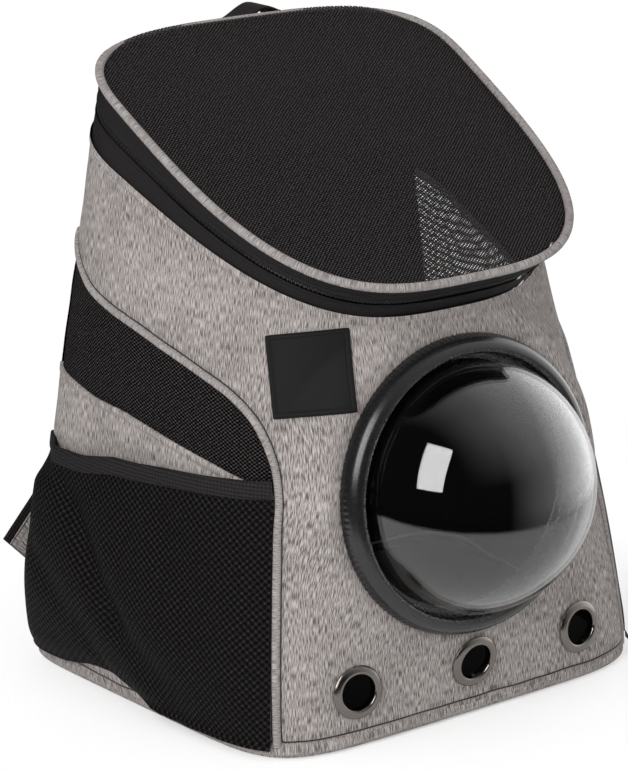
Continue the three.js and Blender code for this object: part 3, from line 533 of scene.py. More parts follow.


# Heather cloth with painted shade along its seams: a dark line and a darker band beside the piping and above
# the base binding, for the shade in that groove; dark inside where its back shows
def heatherMaterial(name, inside=True, **values):
    material, nodes, shader = newMaterial(name, Roughness=0.95, Specular_IOR_Level=0.15)
    made = useGroup(nodes, heatherTree, flatOf(nodes), **values)
    near = nodes.math("ABSOLUTE", nodes.add("Attribute", attribute_name="seam").outputs["Fac"])
    # Painted shade: a near-black line at the seam edge, and cloth darkened within 5 mm of it
    seam = nodes.ramp(near, 0.25, 0.75)
    paintedSeamShade = nodes.math("MULTIPLY", nodes.math("MAXIMUM", seam, 0.16), nodes.ramp(near, 0.0, 5.0, 0.82, 1.0))
    grey = nodes.add("CombineXYZ", {0: paintedSeamShade, 1: paintedSeamShade, 2: paintedSeamShade}).outputs[0]
    nodes.feed(shader.inputs["Base Color"], nodes.mix(1.0, made["Color"], grey, "MULTIPLY"))
    height = nodes.math("ADD", made["Height"], nodes.math("MULTIPLY", seam, 2.0))
    bumpFrom(nodes, shader, height, 0.00035, 0.8)
    if inside:
        lining = nodes.add("BsdfDiffuse", {"Color": (0.008, 0.0074, 0.0074, 1)})
        facing = nodes.add("NewGeometry").outputs["Backfacing"]
        nodes.surface(nodes.add("MixShader", {0: facing, 1: shader.outputs[0], 2: lining.outputs[0]}))
    return material


def netMaterial(name, seeThrough=True, **values):
    material, nodes, shader = newMaterial(name, Roughness=0.7, Specular_IOR_Level=0.06)
    made = useGroup(nodes, netTree, flatOf(nodes), **values)
    nodes.feed(shader.inputs["Base Color"], made["Color"])
    bumpFrom(nodes, shader, made["Relief"], 0.0006)
    if seeThrough:
        nodes.feed(shader.inputs["Alpha"], made["Alpha"])
    return material


def tapeMaterial(name, **values):
    material, nodes, shader = newMaterial(name, Roughness=0.75, Specular_IOR_Level=0.12)
    made = useGroup(nodes, ribTree, flatOf(nodes), **values)
    nodes.feed(shader.inputs["Base Color"], made["Color"])
    bumpFrom(nodes, shader, made["Height"], 0.0003)
    return material


def solidMaterial(name, color, low, high, size=260.0, relief=0.0001, **constants):
    material, nodes, shader = newMaterial(name, Base_Color=(*color, 1), **constants)
    place = nodes.add("TexCoord").outputs["Object"]
    made = useGroup(nodes, grainTree, place, Low=low, High=high, Size=size)
    nodes.feed(shader.inputs["Roughness"], made["Roughness"])
    bumpFrom(nodes, shader, made["Height"], relief, 0.6)
    return material


# Clear plastic: dark see-through with a mirror sheen that grows to the rim
def clearMaterial(name):
    material, nodes, shader = newMaterial(name)
    nodes.tree.nodes.remove(shader)
    through = nodes.add("BsdfTransparent", {"Color": (0.93, 0.93, 0.935, 1)})
    sheen = nodes.add("BsdfGlossy", {"Color": (1, 1, 1, 1), "Roughness": 0.012})
    facing = nodes.add("NewGeometry").outputs["Backfacing"]
    rim = nodes.add("Fresnel", {"IOR": nodes.ramp(facing, 0, 1, 1.5, 0.6667)})
    nodes.surface(nodes.add("MixShader", {0: rim.outputs[0], 1: through.outputs[0], 2: sheen.outputs[0]}))
    return material


heather = heatherMaterial("heather cloth")
plainHeather = heatherMaterial("heather cloth trim", inside=False)
edging = heatherMaterial("grey edging", inside=False,
                         Dark=(0.13, 0.119, 0.115, 1), Light=(0.31, 0.289, 0.28, 1))
lidMesh = netMaterial("lid mesh", Width=0.0028, Height=0.0024, Hole=0.18, Knots=0.6)
windowMesh = netMaterial("window mesh", Width=0.0034, Height=0.0024, Hole=0.19, Knots=0.6)
pocketMesh = netMaterial("pocket mesh", seeThrough=False, Width=0.0046, Height=0.0046, Hole=0.22, Knots=0.2)
tape = tapeMaterial("black tape")
webbing = tapeMaterial("black webbing", Pitch=0.0024)
blackPlastic = solidMaterial("black plastic", (0.007, 0.007, 0.0072), 0.22, 0.3, 420.0, 0.00001)
toothPlastic = solidMaterial("zip teeth", (0.016, 0.016, 0.016), 0.3, 0.45)
nickel = solidMaterial("nickel", (0.16, 0.146, 0.134), 0.17, 0.27, 160.0, Metallic=1.0)
rubber = solidMaterial("black rubber", (0.007, 0.007, 0.0072), 0.6, 0.72, 900.0, 0.0002,
                       Specular_IOR_Level=0.14)
clear = clearMaterial("clear plastic")
print("materials ready")

# Cloth of the body: rows of its waves, ridges and stitches
drape = {"slow": (0.9, 120, 3), "quick": (0.22, 34, 5), "pucker": (0.35, 9, 9), "ringFade": 14,
         "calm": 24, "dip": (0.9, 20, 7), "dipStart": 12, "hemFade": 22, "hemEdge": (4.2, 5.6),
         "hemRise": 0.8, "stitch": (0.6, 6.4, 0.9), "gather": (0.3, 11, 8), "gatherFade": (1, 9, 6),
         "foot": (0.5, 26, 12), "footFade": (1, 0, 26)}
seamEdge = {"cord": 3.1, "binding": 11.6}


def drapeOut(points, height, angle):
    out = waves(points, drape["slow"]) + waves(points, drape["quick"])
    front = points[..., 1] < 0
    fromRing = ringReach(points)[1] - bubble["ring"]
    offset = points - ringCentre
    spin = np.arctan2(offset[..., 0], offset[..., 2])
    pucker = ridge(fromRing, drape["pucker"]) * np.sin(17 * spin + 2 * np.sin(3 * spin))
    nearRing = front * np.exp(-np.maximum(fromRing, 0) / drape["ringFade"])
    out = out * (1 - nearRing) + pucker * front
    for centre, _ in eyeletSpots:
        far = np.linalg.norm(points - centre, axis=-1)
        dip = ridge(far, drape["dip"]) * (far > drape["dipStart"])
        out = out * (1 - np.exp(-(far / drape["calm"]) ** 4)) - dip
    fromHem = (1 - height) * wallHeight(angle)
    out = out * smoothStep(fromHem, 0, drape["hemFade"])
    out = out + drape["hemRise"] * (1 - smoothStep(fromHem, *drape["hemEdge"]))
    out = out - ridge(fromHem, drape["stitch"])
    out = out + waves(points, drape["gather"]) * ridge(fromHem, drape["gatherFade"])
    return out + waves(points, drape["foot"]) * ridge(height * wallHeight(angle), drape["footFade"])


# Signed distance to the edge of the piping or of the base binding, whichever is less
def fromSeam(points):
    leftPoints = points.reshape(-1, 3).copy()
    leftPoints[:, 0] = -abs(leftPoints[:, 0])
    fromLine = np.concatenate([np.linalg.norm(part[:, None] - seamLine[None], axis=-1).min(1)
                               for part in np.array_split(leftPoints, 60)]).reshape(points.shape[:-1])
    return np.minimum(fromLine - seamEdge["cord"], points[..., 2] - seamEdge["binding"])


def wallGrid(angles, heights, side=1, lift=0.0):
    angles, mirror = np.broadcast_to(angles[:, None], heights.shape), np.array([side, 1, 1])
    points, normals = wallSurface(angles, heights) * mirror, wallNormal(angles, heights) * mirror
    out = drapeOut(points, heights, angles) + lift
    return {"points": points + normals * out[..., None], "normals": normals, "near": fromSeam(points),
            "flat": flatPlace(angles, heights), "flip": side < 0}


def rowsBetween(low, high, count, crowd=1.0):
    t = np.linspace(0, 1, count)
    if crowd != 1.0:
        t = 1 - (1 - t) ** crowd
    return low[:, None] + (high - low)[:, None] * t[None, :]


seamCurve = curveThrough(np.column_stack([wingSeam[:, 0] / 100, wingSeam[:, 1]]), 1200)
seamCurve = evenAlong(seamCurve, 260) * np.array([100, 1])
seamAngle, seamShare = seamCurve[:, 0], seamCurve[:, 1]
seamLine = wallSurface(seamAngle, seamShare)
footLift = 6.5


def footShare(angle):
    return footLift / wallHeight(angle)


def frontGrids():
    angles = seamAngle[seamShare > footShare(seamAngle)]
    low = np.interp(angles, seamAngle, seamShare)
    middle = np.linspace(angles[-1], 540 - angles[-1], 230)
    wingRows = rowsBetween(low, np.ones(len(angles)), 130, 1.6)
    middleRows = rowsBetween(np.full(len(middle), low[-1]), np.ones(len(middle)), 130, 1.6)
    grids = [wallGrid(angles, wingRows), wallGrid(angles, wingRows, -1), wallGrid(middle, middleRows)]
    for grid in grids:
        p = grid["points"]
        centre = (p[:-1, :-1] + p[1:, 1:]) / 2
        keep = (ringReach(centre)[1] > bubble["radius"] + 3) | (centre[..., 1] > 0)
        for spot, _ in eyeletSpots:
            keep &= np.linalg.norm(centre - spot, axis=-1) > eyelet["bore"] + 1.5
        grid["keep"] = keep
    return grids


addPiece("front cloth", frontGrids(), heather, "heather_cloth", "front_panel")

backAngles = np.linspace(180 - body["backSeam"], body["backSeam"], 130)
backHeights = rowsBetween(footShare(backAngles), np.ones(130), 120, 1.3)
backGrid = wallGrid(backAngles, backHeights)
addPiece("back cloth", [backGrid], heather, "heather_cloth", "back_panel")

# Lower side cloth with a folded edge, and the mesh window behind that edge
sideEdge = {"rise": 0.7, "edge": (3.4, 4.8), "stitch": (0.5, 5.4, 0.8), "lip": 2.6, "under": 0.014,
            "windowBack": 1.4}
sidePiping = {"radius": 2.75, "deep": 0.92, "sunk": 0.3, "ripple": (0.03, 9, 21)}
for side, word in bothSides:
    lowAngles = np.concatenate([np.linspace(body["backSeam"], 216, 120), np.linspace(216.4, 223.6, 30)])
    top = np.minimum(tableAt(windowSill, lowAngles), np.interp(lowAngles, seamAngle, seamShare) + 0.004)
    top = np.maximum(top, footShare(lowAngles) + 0.01)
    heights = rowsBetween(footShare(lowAngles), top, 90, 1.4)
    grid = wallGrid(lowAngles, heights, side)
    edge = (top[:, None] - heights) * wallHeight(lowAngles)[:, None]
    fold = sideEdge["rise"] * (1 - smoothStep(edge, *sideEdge["edge"])) - ridge(edge, sideEdge["stitch"])
    grid["points"] = grid["points"] + grid["normals"] * fold[..., None]
    rim = grid["points"][:, -1]
    lip = {**grid, "points": np.stack([rim, rim - grid["normals"][:, -1] * sideEdge["lip"]], 1),
           "flat": grid["flat"][:, -2:], "near": 99.0}
    addPiece(f"side cloth {word}", [grid, lip], heather, "heather_cloth", f"side_panel_{word}")

    winAngles = np.linspace(body["backSeam"], 222.3, 150)
    high = np.interp(winAngles, seamAngle, seamShare)
    low = np.minimum(tableAt(windowSill, winAngles) - sideEdge["under"], high)
    grid = wallGrid(winAngles, rowsBetween(low, high, 60), side, lift=-sideEdge["windowBack"])
    addPiece(f"window mesh {word}", [grid], windowMesh, "black_net", f"side_window_{word}")

    # Piping in the wing seam
    shown = seamShare > footShare(seamAngle) + 0.004
    angles, shares = seamAngle[shown], seamShare[shown]
    line, normals = wallSurface(angles, shares), wallNormal(angles, shares)
    line = line + normals * (drapeOut(line, shares, angles)[:, None] - sidePiping["sunk"])
    cord = tube(line, normals, sidePiping["radius"], 16, deep=sidePiping["deep"], ripple=sidePiping["ripple"])
    grids = sided([cord] + endCaps(cord), side)
    addPiece(f"side piping {word}", grids, edging, "edging", f"side_piping_{word}")
print("body cloth ready")


# Binding round the base: a fat soft fold with a creased lower edge
binding = {"inward": 1.4, "out": (0.5, 46, 31), "lift": (0.35, 30, 32), "firm": 2, "crease": (0.55, 5.2, 0.7),
           "creaseSwing": 1.2, "round": 2.4, "wide": 18, "profile": [
               (-11, 0.3), (0.2, 0.2), (2.9, 3.0), (3.0, 7.2), (0.6, 10.6), (-0.6, 11.2), (-2.2, 9.6)]}
roundAngles = np.linspace(0, 360, 720, endpoint=False)
roundAngles = roundAngles + 4.5 * np.sin(4 * np.radians(roundAngles))


def ringOffset(ring, angle, inward):
    point = outlinePoint(ring, angle)
    run = outlinePoint(ring, angle + 0.5) - outlinePoint(ring, angle - 0.5)
    run[..., 2] = 0
    out = unit(np.stack([run[..., 1], -run[..., 0], 0 * run[..., 0]], -1))
    point = point - out * np.asarray(inward, float)[..., None]
    point[..., 2] = planeHeight(ring, point[..., 1])
    return point, out


def bindingGrid():
    profile = rounded(binding["profile"], binding["round"], 5, False)
    out, rise = profile[None, :, 0], profile[None, :, 1]
    edge, outward = ringOffset(base, roundAngles, binding["inward"])
    loose = rise > binding["firm"]
    wave = waves(edge, binding["out"])[:, None]
    out = out + wave * loose - ridge(rise - binding["creaseSwing"] * wave, binding["crease"])
    points = edge[:, None] + outward[:, None] * out[..., None]
    points[..., 2] = rise + waves(edge, binding["lift"])[:, None] * loose
    far = runLength(edge)
    flat = flatRows(np.append(far, far[-1] + 2), np.linspace(0, binding["wide"], len(profile)))
    return {"points": points, "closedU": True, "flat": flat}


addPiece("base binding", [bindingGrid()], heather, "edging", "base_piping")


# Zip band: two tapes with folded edges beside the coil, the coil's teeth, and what is behind them
zipBand = {"overMouth": 3, "gap": 2.4, "under": 5, "short": 0.5, "back": 1.0, "crown": 0.5,
           "wave": (0.25, 60, 41), "fold": 0.55, "foldEdge": (2.2, 3.4), "groove": (0.4, 3.8, 0.6)}
teeth = {"count": 640, "back": 1.7, "lean": 0.55, "half": (0.42, 1.55, 0.55), "taper": 0.35}
zipBack = {"back": 2.4, "half": 4.4, "flat": 0.14, "liningBack": 4.2, "liningLow": 12, "liningTall": 11}


def gussetPoint(angle, fromMouth, out):
    low, high = outlinePoint(mouth, angle), outlinePoint(lid, angle)
    rise = high - low
    around = outlinePoint(lid, angle + 0.5) - outlinePoint(lid, angle - 0.5)
    normal = unit(np.cross(around, rise))
    return low + unit(rise) * np.asarray(fromMouth)[..., None] + normal * np.asarray(out)[..., None]


gussetHeight = np.linalg.norm(outlinePoint(lid, roundAngles) - outlinePoint(mouth, roundAngles), axis=1)
zipMiddle = (gussetHeight - zipBand["overMouth"]) / 2
zipAround = runLength(outlinePoint(mouth, roundAngles))


def tapeGrid(low, high, fold):
    place = rowsBetween(low, high, 14)
    edge = np.abs(place - fold[:, None])
    out = (-zipBand["back"] + zipBand["crown"] * np.sin(math.pi * np.linspace(0, 1, 14))[None]
           + waves(outlinePoint(mouth, roundAngles), zipBand["wave"])[:, None]
           + zipBand["fold"] * (1 - smoothStep(edge, *zipBand["foldEdge"])) - ridge(edge, zipBand["groove"]))
    points = gussetPoint(np.broadcast_to(roundAngles[:, None], place.shape), place, out)
    along = np.vstack([place, place[:1]])
    far = np.append(zipAround, zipAround[-1] + 1.5)[:, None] + 0 * along
    return {"points": points, "closedU": True, "flat": np.stack([far, along], -1)}


lowerEdge, upperEdge = zipMiddle - zipBand["gap"], zipMiddle + zipBand["gap"]
for word, grid in (("lower", tapeGrid(0 * zipMiddle - zipBand["under"], lowerEdge, lowerEdge)),
                   ("upper", tapeGrid(upperEdge, gussetHeight - zipBand["short"], upperEdge))):
    addPiece(f"zip tape {word}", [grid], tape, "black_webbing", f"zip_tape_{word}")


def teethMesh():
    line = gussetPoint(roundAngles, zipMiddle, -teeth["back"])
    even = evenAlong(np.vstack([line, line[:1]]), teeth["count"])
    angles = roundAngles[0] + np.linspace(0, 360, teeth["count"])
    up = unit(outlinePoint(lid, angles) - outlinePoint(mouth, angles))
    run = unit(np.gradient(even, axis=0))
    out = unit(np.cross(run, up))
    box = np.array([(a, b, c) for a in (-1, 1) for b in (-1, 1) for c in (-1, 1)], float)
    box[:, 1] *= 1 - teeth["taper"] * (box[:, 2] > 0)
    box *= teeth["half"]
    lean = np.where(np.arange(teeth["count"]) % 2, teeth["lean"], -teeth["lean"])
    spots = (even + up * lean[:, None])[:, None] + (
        box[:, :1] * run[:, None] + box[:, 1:2] * up[:, None] + box[:, 2:] * out[:, None])
    quads = [(0, 1, 3, 2), (4, 6, 7, 5), (0, 4, 5, 1), (2, 3, 7, 6), (0, 2, 6, 4), (1, 5, 7, 3)]
    faces = [tuple(8 * i + q for q in quad) for i in range(teeth["count"] - 1) for quad in quads]
    mesh = bpy.data.meshes.new("zip coil")
    mesh.from_pydata((spots[:-1] * toMetres).reshape(-1, 3).tolist(), [], faces)
    return pieceFrom("zip coil", mesh, toothPlastic)


outOfBand = unit(gussetPoint(roundAngles, zipMiddle, 1) - gussetPoint(roundAngles, zipMiddle, 0))
backing = tube(gussetPoint(roundAngles, zipMiddle, -zipBack["back"]), outOfBand, zipBack["half"], 8,
               closed=True, deep=zipBack["flat"])
addPiece("zip backing", [backing], tape, "black_webbing")
liningRise = (gussetHeight + zipBack["liningTall"])[:, None] * np.linspace(0, 1, 10) - zipBack["liningLow"]
lining = {"points": gussetPoint(roundAngles[:, None] + 0 * liningRise, liningRise, -zipBack["liningBack"]),
          "closedU": True}
addPiece("zip lining", [lining], tape, "black_webbing")
finishPiece(teethMesh(), "black_plastic", "zip_coil")

# Lid: a soft mesh in piping, which it laps over at the back
lidSoft = {"cord": 2.9, "cordBack": 1.2, "lapEdge": (0.6, 0.84), "wave": (0.5, 150, 51),
           "ripple": (0.03, 10, 52), "inward": 2.0, "lap": 2.6, "lapRise": 2.0, "sag": 3,
           "swell": (0.9, 90, 54)}
lidSlope = unit(np.array([0, lid["frontHeight"] - lid["backHeight"], lid["front"] + lid["back"]], float))
lidLine = outlinePoint(lid, roundAngles)
lidLine = lidLine + lidSlope * waves(lidLine, lidSoft["wave"])[:, None]
lidLap = smoothStep(np.sin(np.radians(roundAngles)), *lidSoft["lapEdge"])
lidCord = tube(lidLine, np.broadcast_to(lidSlope, lidLine.shape),
               lidSoft["cord"] - lidSoft["cordBack"] * lidLap, 16, closed=True, ripple=lidSoft["ripple"])
addPiece("lid piping", [lidCord], edging, "edging", "lid_piping")


def lidGrid():
    edge, _ = ringOffset(lid, roundAngles, lidSoft["inward"] - lidSoft["lap"] * lidLap)
    centreY = lid["back"] * lid["middle"]
    centre = np.array([0, centreY, planeHeight(lid, centreY)])
    share = np.concatenate([[0.004], np.linspace(0.03, 1, 70)])
    points = centre + (edge[:, None] - centre) * share[None, :, None]
    sag = lidSoft["sag"] * (1 - share ** 2)[None] + waves(points, lidSoft["swell"]) * (1 - share ** 4)[None]
    points = points + lidSlope * (sag + lidSoft["lapRise"] * lidLap[:, None] * share ** 14)[..., None]
    stretch = math.hypot(1, (lid["backHeight"] - lid["frontHeight"]) / (lid["front"] + lid["back"]))
    flat = points[..., :2] * np.array([1, stretch])
    return {"points": points, "closedU": True, "flat": np.concatenate([flat, flat[:1]])}


addPiece("lid mesh", [lidGrid()], lidMesh, "black_net", "lid_net")
print("lid ready")

# Bubble and its ring
ringOuter, ringBore, ringRise = bubble["ring"], bubble["radius"] + 0.4, bubble["rise"]
ringProfile = rounded([
    (ringBore + 4.5, 0.4), (ringOuter - 0.4, 0.4), (ringOuter, 1.2), (ringOuter - 0.2, 4.4),
    (ringOuter - 2.0, 9.6), (ringOuter - 5.2, 13.3), (ringOuter - 8.4, ringRise),
    (ringBore + 2.6, ringRise - 0.4), (ringBore + 0.9, ringRise - 2.4), (ringBore + 0.4, ringRise - 6),
    (ringBore + 0.3, -3.4), (ringBore - 4.5, -3.4), (ringBore - 4.5, -6.9), (ringBore + 9, -6.9),
    (ringBore + 9, -2.6), (ringBore + 4.5, -2.6)], 1.6, 5)


# Fine teeth round the ring's foot
def serrate(turn, r, h):
    low = (r > ringOuter - 1.5) & (h < 6.5) & (h > -1)
    return r + 0.2 * np.sin(150 * turn) * low, h


bubbleRing = turned(ringProfile, 900, ringCentre, ringAxis, serrate)
finishPiece(meshFrom("bubble ring", [bubbleRing], blackPlastic, 50), "black_plastic", "bubble_ring")
rise = np.radians(np.linspace(0, 90, 60))
arc = np.column_stack([np.cos(rise), np.sin(rise)])
outside, inside, foot = bubble["radius"], bubble["radius"] - bubble["wall"], -3
domeProfile = np.vstack([(outside, foot), outside * arc, inside * arc[::-1], (inside, foot)])
dome = meshFrom("bubble dome", [turned(domeProfile, 200, ringCentre, ringAxis)], clear, 60)
finishPiece(dome, "clear_plastic", "bubble_dome")

edge, bore = eyelet["edge"], eyelet["bore"]
eyeletProfile = rounded([
    (bore + 1.8, 0.4), (edge, 0.4), (edge, 0.9), (edge - 1.15, 2.0), (edge - 3.75, 2.9), (bore + 0.8, 2.7),
    (bore, 1.4), (bore, -3.6), (edge - 2, -3.6), (edge - 2, -2.6), (bore + 1.8, -2.6)], 0.7, 5)
for (centre, normal), word in zip(eyeletSpots, ("left", "middle", "right")):
    finishPiece(meshFrom(f"eyelet {word}", [turned(eyeletProfile, 96, centre, normal)], nickel, 45),
                "nickel", f"eyelet_{word}")


# Rubber badge with a raised border and a sewn groove
badgeFace = {"back": 0.6, "edge": 0.9, "border": 0.3, "borderFar": 2.0, "borderWidth": 0.9,
             "groove": (0.5, 3.4, 0.4), "corner": 0.012}


def badgeGrid():
    spot = np.array(badge["angle"]), np.array(badge["share"])
    centre, axis = wallSurface(*spot), wallNormal(*spot)
    level = unit(np.array([0, 0, 1.0]) - axis * axis[2])
    turn = math.radians(badge["turn"])
    up = level * math.cos(turn) + np.cross(axis, level) * math.sin(turn)
    across = np.cross(up, axis)
    reach = badge["size"] / 2
    t = np.linspace(-1, 1, 90)
    t = np.sign(t) * (1 - (1 - abs(t)) ** 1.5)
    u, v = np.meshgrid(t, t, indexing="ij")
    inset = 1 - badgeFace["corner"] * (np.minimum(abs(u), abs(v)) ** 24)
    angle, height = np.full(u.shape, badge["angle"]), np.full(u.shape, badge["share"])

    def miss(angle, height):
        offset = wallSurface(angle, height) - centre
        return offset @ across - u * inset * reach, offset @ up - v * inset * reach

    # Steps to the angle and height whose wall point is under each point of the square
    stepAngle, stepHeight = 0.1, 0.001
    for _ in range(8):
        offU, offV = miss(angle, height)
        turnU, turnV = miss(angle + stepAngle, height)
        liftU, liftV = miss(angle, height + stepHeight)
        au, av, hu, hv = ((turnU - offU) / stepAngle, (turnV - offV) / stepAngle,
                          (liftU - offU) / stepHeight, (liftV - offV) / stepHeight)
        size = au * hv - av * hu
        angle = angle - (offU * hv - offV * hu) / size
        height = height - (au * offV - av * offU) / size
    edge = (1 - np.maximum(abs(u), abs(v))) * reach
    face = badge["thickness"] - badgeFace["border"]
    out = (badgeFace["back"] + face * smoothStep(edge, 0, badgeFace["edge"])
           + badgeFace["border"] * np.exp(-((edge - badgeFace["borderFar"]) / badgeFace["borderWidth"]) ** 4)
           - ridge(edge, badgeFace["groove"]))
    points = wallSurface(angle, height) + wallNormal(angle, height) * out[..., None]
    return {"points": points, "flat": np.stack([u * reach, v * reach], -1)}


addPiece("front badge", [badgeGrid()], rubber, "black_rubber", "front_badge")
print("front fittings ready")

# Side pockets: full at the back, creased, gathered in at the foot
pocket = {"bulge": 16.5, "stand": 1.3, "foot": 2.4, "footStand": 3.0, "band": 11.5, "bandThick": 2.2,
          "front": 222.4, "back": 138.6, "fromSeam": 3.2, "wave": (1.1, 48, 61), "gather": 0.2, "least": 1.2}
pocketAlong = np.array([
    (0, 0), (0.1, 0.34), (0.25, 0.72), (0.45, 1), (0.62, 1), (0.8, 1), (0.93, 0.92), (1, 0.5)])
pocketUp = np.array([(0, 0.1), (0.12, 0.6), (0.35, 1), (0.6, 1), (0.85, 0.8), (1, 0.58)])
# One row per crease: along and up where it starts and ends, how deep, how wide
pocketCreases = [
    {"start": (0.80, 0.95), "stop": (0.52, 0.36), "deep": 7.5, "wide": 0.055},
    {"start": (0.52, 0.36), "stop": (0.30, 0.10), "deep": 5.0, "wide": 0.06},
    {"start": (0.98, 0.62), "stop": (0.70, 0.22), "deep": 2.4, "wide": 0.05},
    {"start": (0.66, 0.14), "stop": (0.62, 0.04), "deep": 1.6, "wide": 0.035},
    {"start": (0.30, 0.92), "stop": (0.20, 0.45), "deep": 2.2, "wide": 0.06},
    {"start": (0.46, 0.70), "stop": (0.40, 0.95), "deep": 1.5, "wide": 0.05},
]


def creaseAt(along, up, crease):
    a, b = np.array(crease["start"]), np.array(crease["stop"])
    way = b - a
    t = np.clip(((along - a[0]) * way[0] + (up - a[1]) * way[1]) / (way @ way), 0, 1)
    far = np.hypot(along - a[0] - t * way[0], (up - a[1] - t * way[1]) * 0.6)
    fade = 0.5 + 0.5 * np.sin(math.pi * np.clip(t, 0.1, 0.9))
    return ridge(far, (crease["deep"], 0, crease["wide"])) * fade


def pocketOut(along, up, points):
    swell = curveValue(pocketAlong, along) * curveValue(pocketUp, up)
    swell = swell * (1 - 0.95 * smoothStep(along, 0.84, 0.98) * smoothStep(up, 0.84, 1))
    foot = pocket["foot"] + pocket["footStand"] * (1 - smoothStep(points[..., 2], 8.5, 12.5))
    out = foot + (pocket["stand"] - foot) * np.minimum(4 * up, 1) + pocket["bulge"] * swell
    free = (smoothStep(along, 0.02, 0.14) * (1 - 0.5 * smoothStep(along, 0.92, 1))
            * (1 - 0.75 * smoothStep(up, 0.86, 1)))
    dent = sum(creaseAt(along, up, crease) for crease in pocketCreases)
    gather = pocket["gather"] * np.sin(along * 95 + 3 * np.sin(along * 17)) * np.exp(-up / 0.09) * free
    out = out + free * (waves(points, pocket["wave"]) - dent) + gather
    return np.maximum(out, pocket["least"])


def curveValue(rows, at):
    fine = curveThrough(rows, 200)
    order = np.argsort(fine[:, 0])
    return np.interp(at, fine[order, 0], fine[order, 1])


# Grid of the pocket's mesh, or of its band where the band's crown is given
def pocketGrid(side, count, crown=None):
    angles = np.linspace(pocket["back"], pocket["front"], 170)
    top = tableAt(pocketTop, angles)
    foot = curveValue(pocketFoot * np.array([0.01, 1]), angles * 0.01)
    bandFoot = top - pocket["band"] / wallHeight(angles)
    heights = rowsBetween(bandFoot, top, count) if crown else rowsBetween(foot, bandFoot, count)
    step = np.linalg.norm(wallSurface(np.full(heights.shape, 223.0), heights)
                          - wallSurface(np.full(heights.shape, 222.0), heights), axis=-1)
    front = np.interp(heights, seamShare[::-1], seamAngle[::-1]) - pocket["fromSeam"] / step
    along = (pocket["front"] - angles[:, None]) / (pocket["front"] - pocket["back"]) + 0 * heights
    grid = front + (pocket["back"] - front) * along
    up = np.clip((heights - foot[:, None]) / (bandFoot - foot)[:, None], 0, 1)
    wall, normal, mirror = wallSurface(grid, heights), wallNormal(grid, heights), np.array([side, 1, 1])
    out = pocketOut(along, up, wall * mirror)
    if crown:
        out = out + crown(np.linspace(0, 1, count))[None, :]
    points = (wall + normal * out[..., None]) * mirror
    return {"points": points, "flat": flatPlace(grid, heights), "flip": side < 0}, normal * mirror


def bandCrown(t):
    return 0.3 + 0.9 * (1 - (2 * t - 1) ** 8) - ridge(t, (0.35, 0.12, 0.03))


for side, word in bothSides:
    net, _ = pocketGrid(side, 110)
    addPiece(f"pocket {word}", [net], pocketMesh, "black_net", f"side_pocket_{word}")
    front, normal = pocketGrid(side, 26, bandCrown)
    rear = {**front, "points": front["points"] - normal * pocket["bandThick"], "flip": not front["flip"]}
    grids = [front, rear]
    for first, second, row in ((front, rear, -1), (rear, front, 0)):
        grids.append({**front, "points": np.stack([first["points"][:, row], second["points"][:, row]], 1),
                      "flat": front["flat"][:, :2]})
    addPiece(f"pocket band {word}", grids, webbing, "black_webbing", f"pocket_band_{word}")
print("pockets ready")

# Carrying parts at the back
carry = {"webWidth": 25, "webLean": 43, "webShow": 5.6, "webLength": 84, "webThickness": 1.8,
         "tip": 181, "tipHeight": 73, "standOff": 9, "tabDepth": 45, "tabLength": 60, "tabThickness": 2.6,
         "buckle": 30, "strapWidth": 62, "strapEnd": 40, "strapThickness": 10, "strapTop": 338,
         "strapReach": 50, "strapInset": 44, "gap": 0.4}
handle = {"span": 74, "root": 368, "rise": 61, "reach": 16, "thickness": 2.4, "aside": 5, "standOff": 0.8}


# Point in the middle plane behind the back, and point behind the back's own curve
def offBack(x, z, out):
    height = min(z / mouth["backHeight"], 1)
    return np.array([x, wallSurface(np.array(90.0), np.array(height))[1] + out, z])


def behind(x, z, out):
    height = np.array(min(z / mouth["backHeight"], 1))
    angles = np.linspace(180 - body["backSeam"], body["backSeam"], 400)
    line = wallSurface(angles, np.full(400, height))
    y = np.interp(-np.clip(x, line[-1, 0], line[0, 0]), -line[:, 0], line[:, 1])
    return np.array([x, y + out, z])


lean = math.radians(carry["webLean"])
webRun = unit(np.array([math.cos(lean), 0.14, math.sin(lean)]))
webDown = np.array([math.sin(lean), 0, -math.cos(lean)])
tip = offBack(-carry["tip"], carry["tipHeight"], carry["standOff"])
webStart = tip + webDown * (carry["webWidth"] / 2 - carry["webShow"]) + np.array(
    [0, carry["tabThickness"] / 2 + carry["gap"] + carry["webThickness"] / 2, 0])
webEnd = webStart + webRun * carry["webLength"]
strapEnd = webEnd + webRun * (carry["buckle"] + 2 * carry["gap"])

# One row per place along the strap, as shares of its drop, stand-off, sideways run and width
strapRun = [(0, 0.05, 0, 0.9), (-0.05, 0.34, 0, 0.96), (-0.03, 0.72, 0.01, 1), (0.08, 0.97, 0.04, 1),
            (0.26, 1.06, 0.1, 1), (0.46, 1.02, 0.2, 1), (0.65, 0.86, 0.37, 0.92), (0.8, 0.68, 0.57, 0.8)]


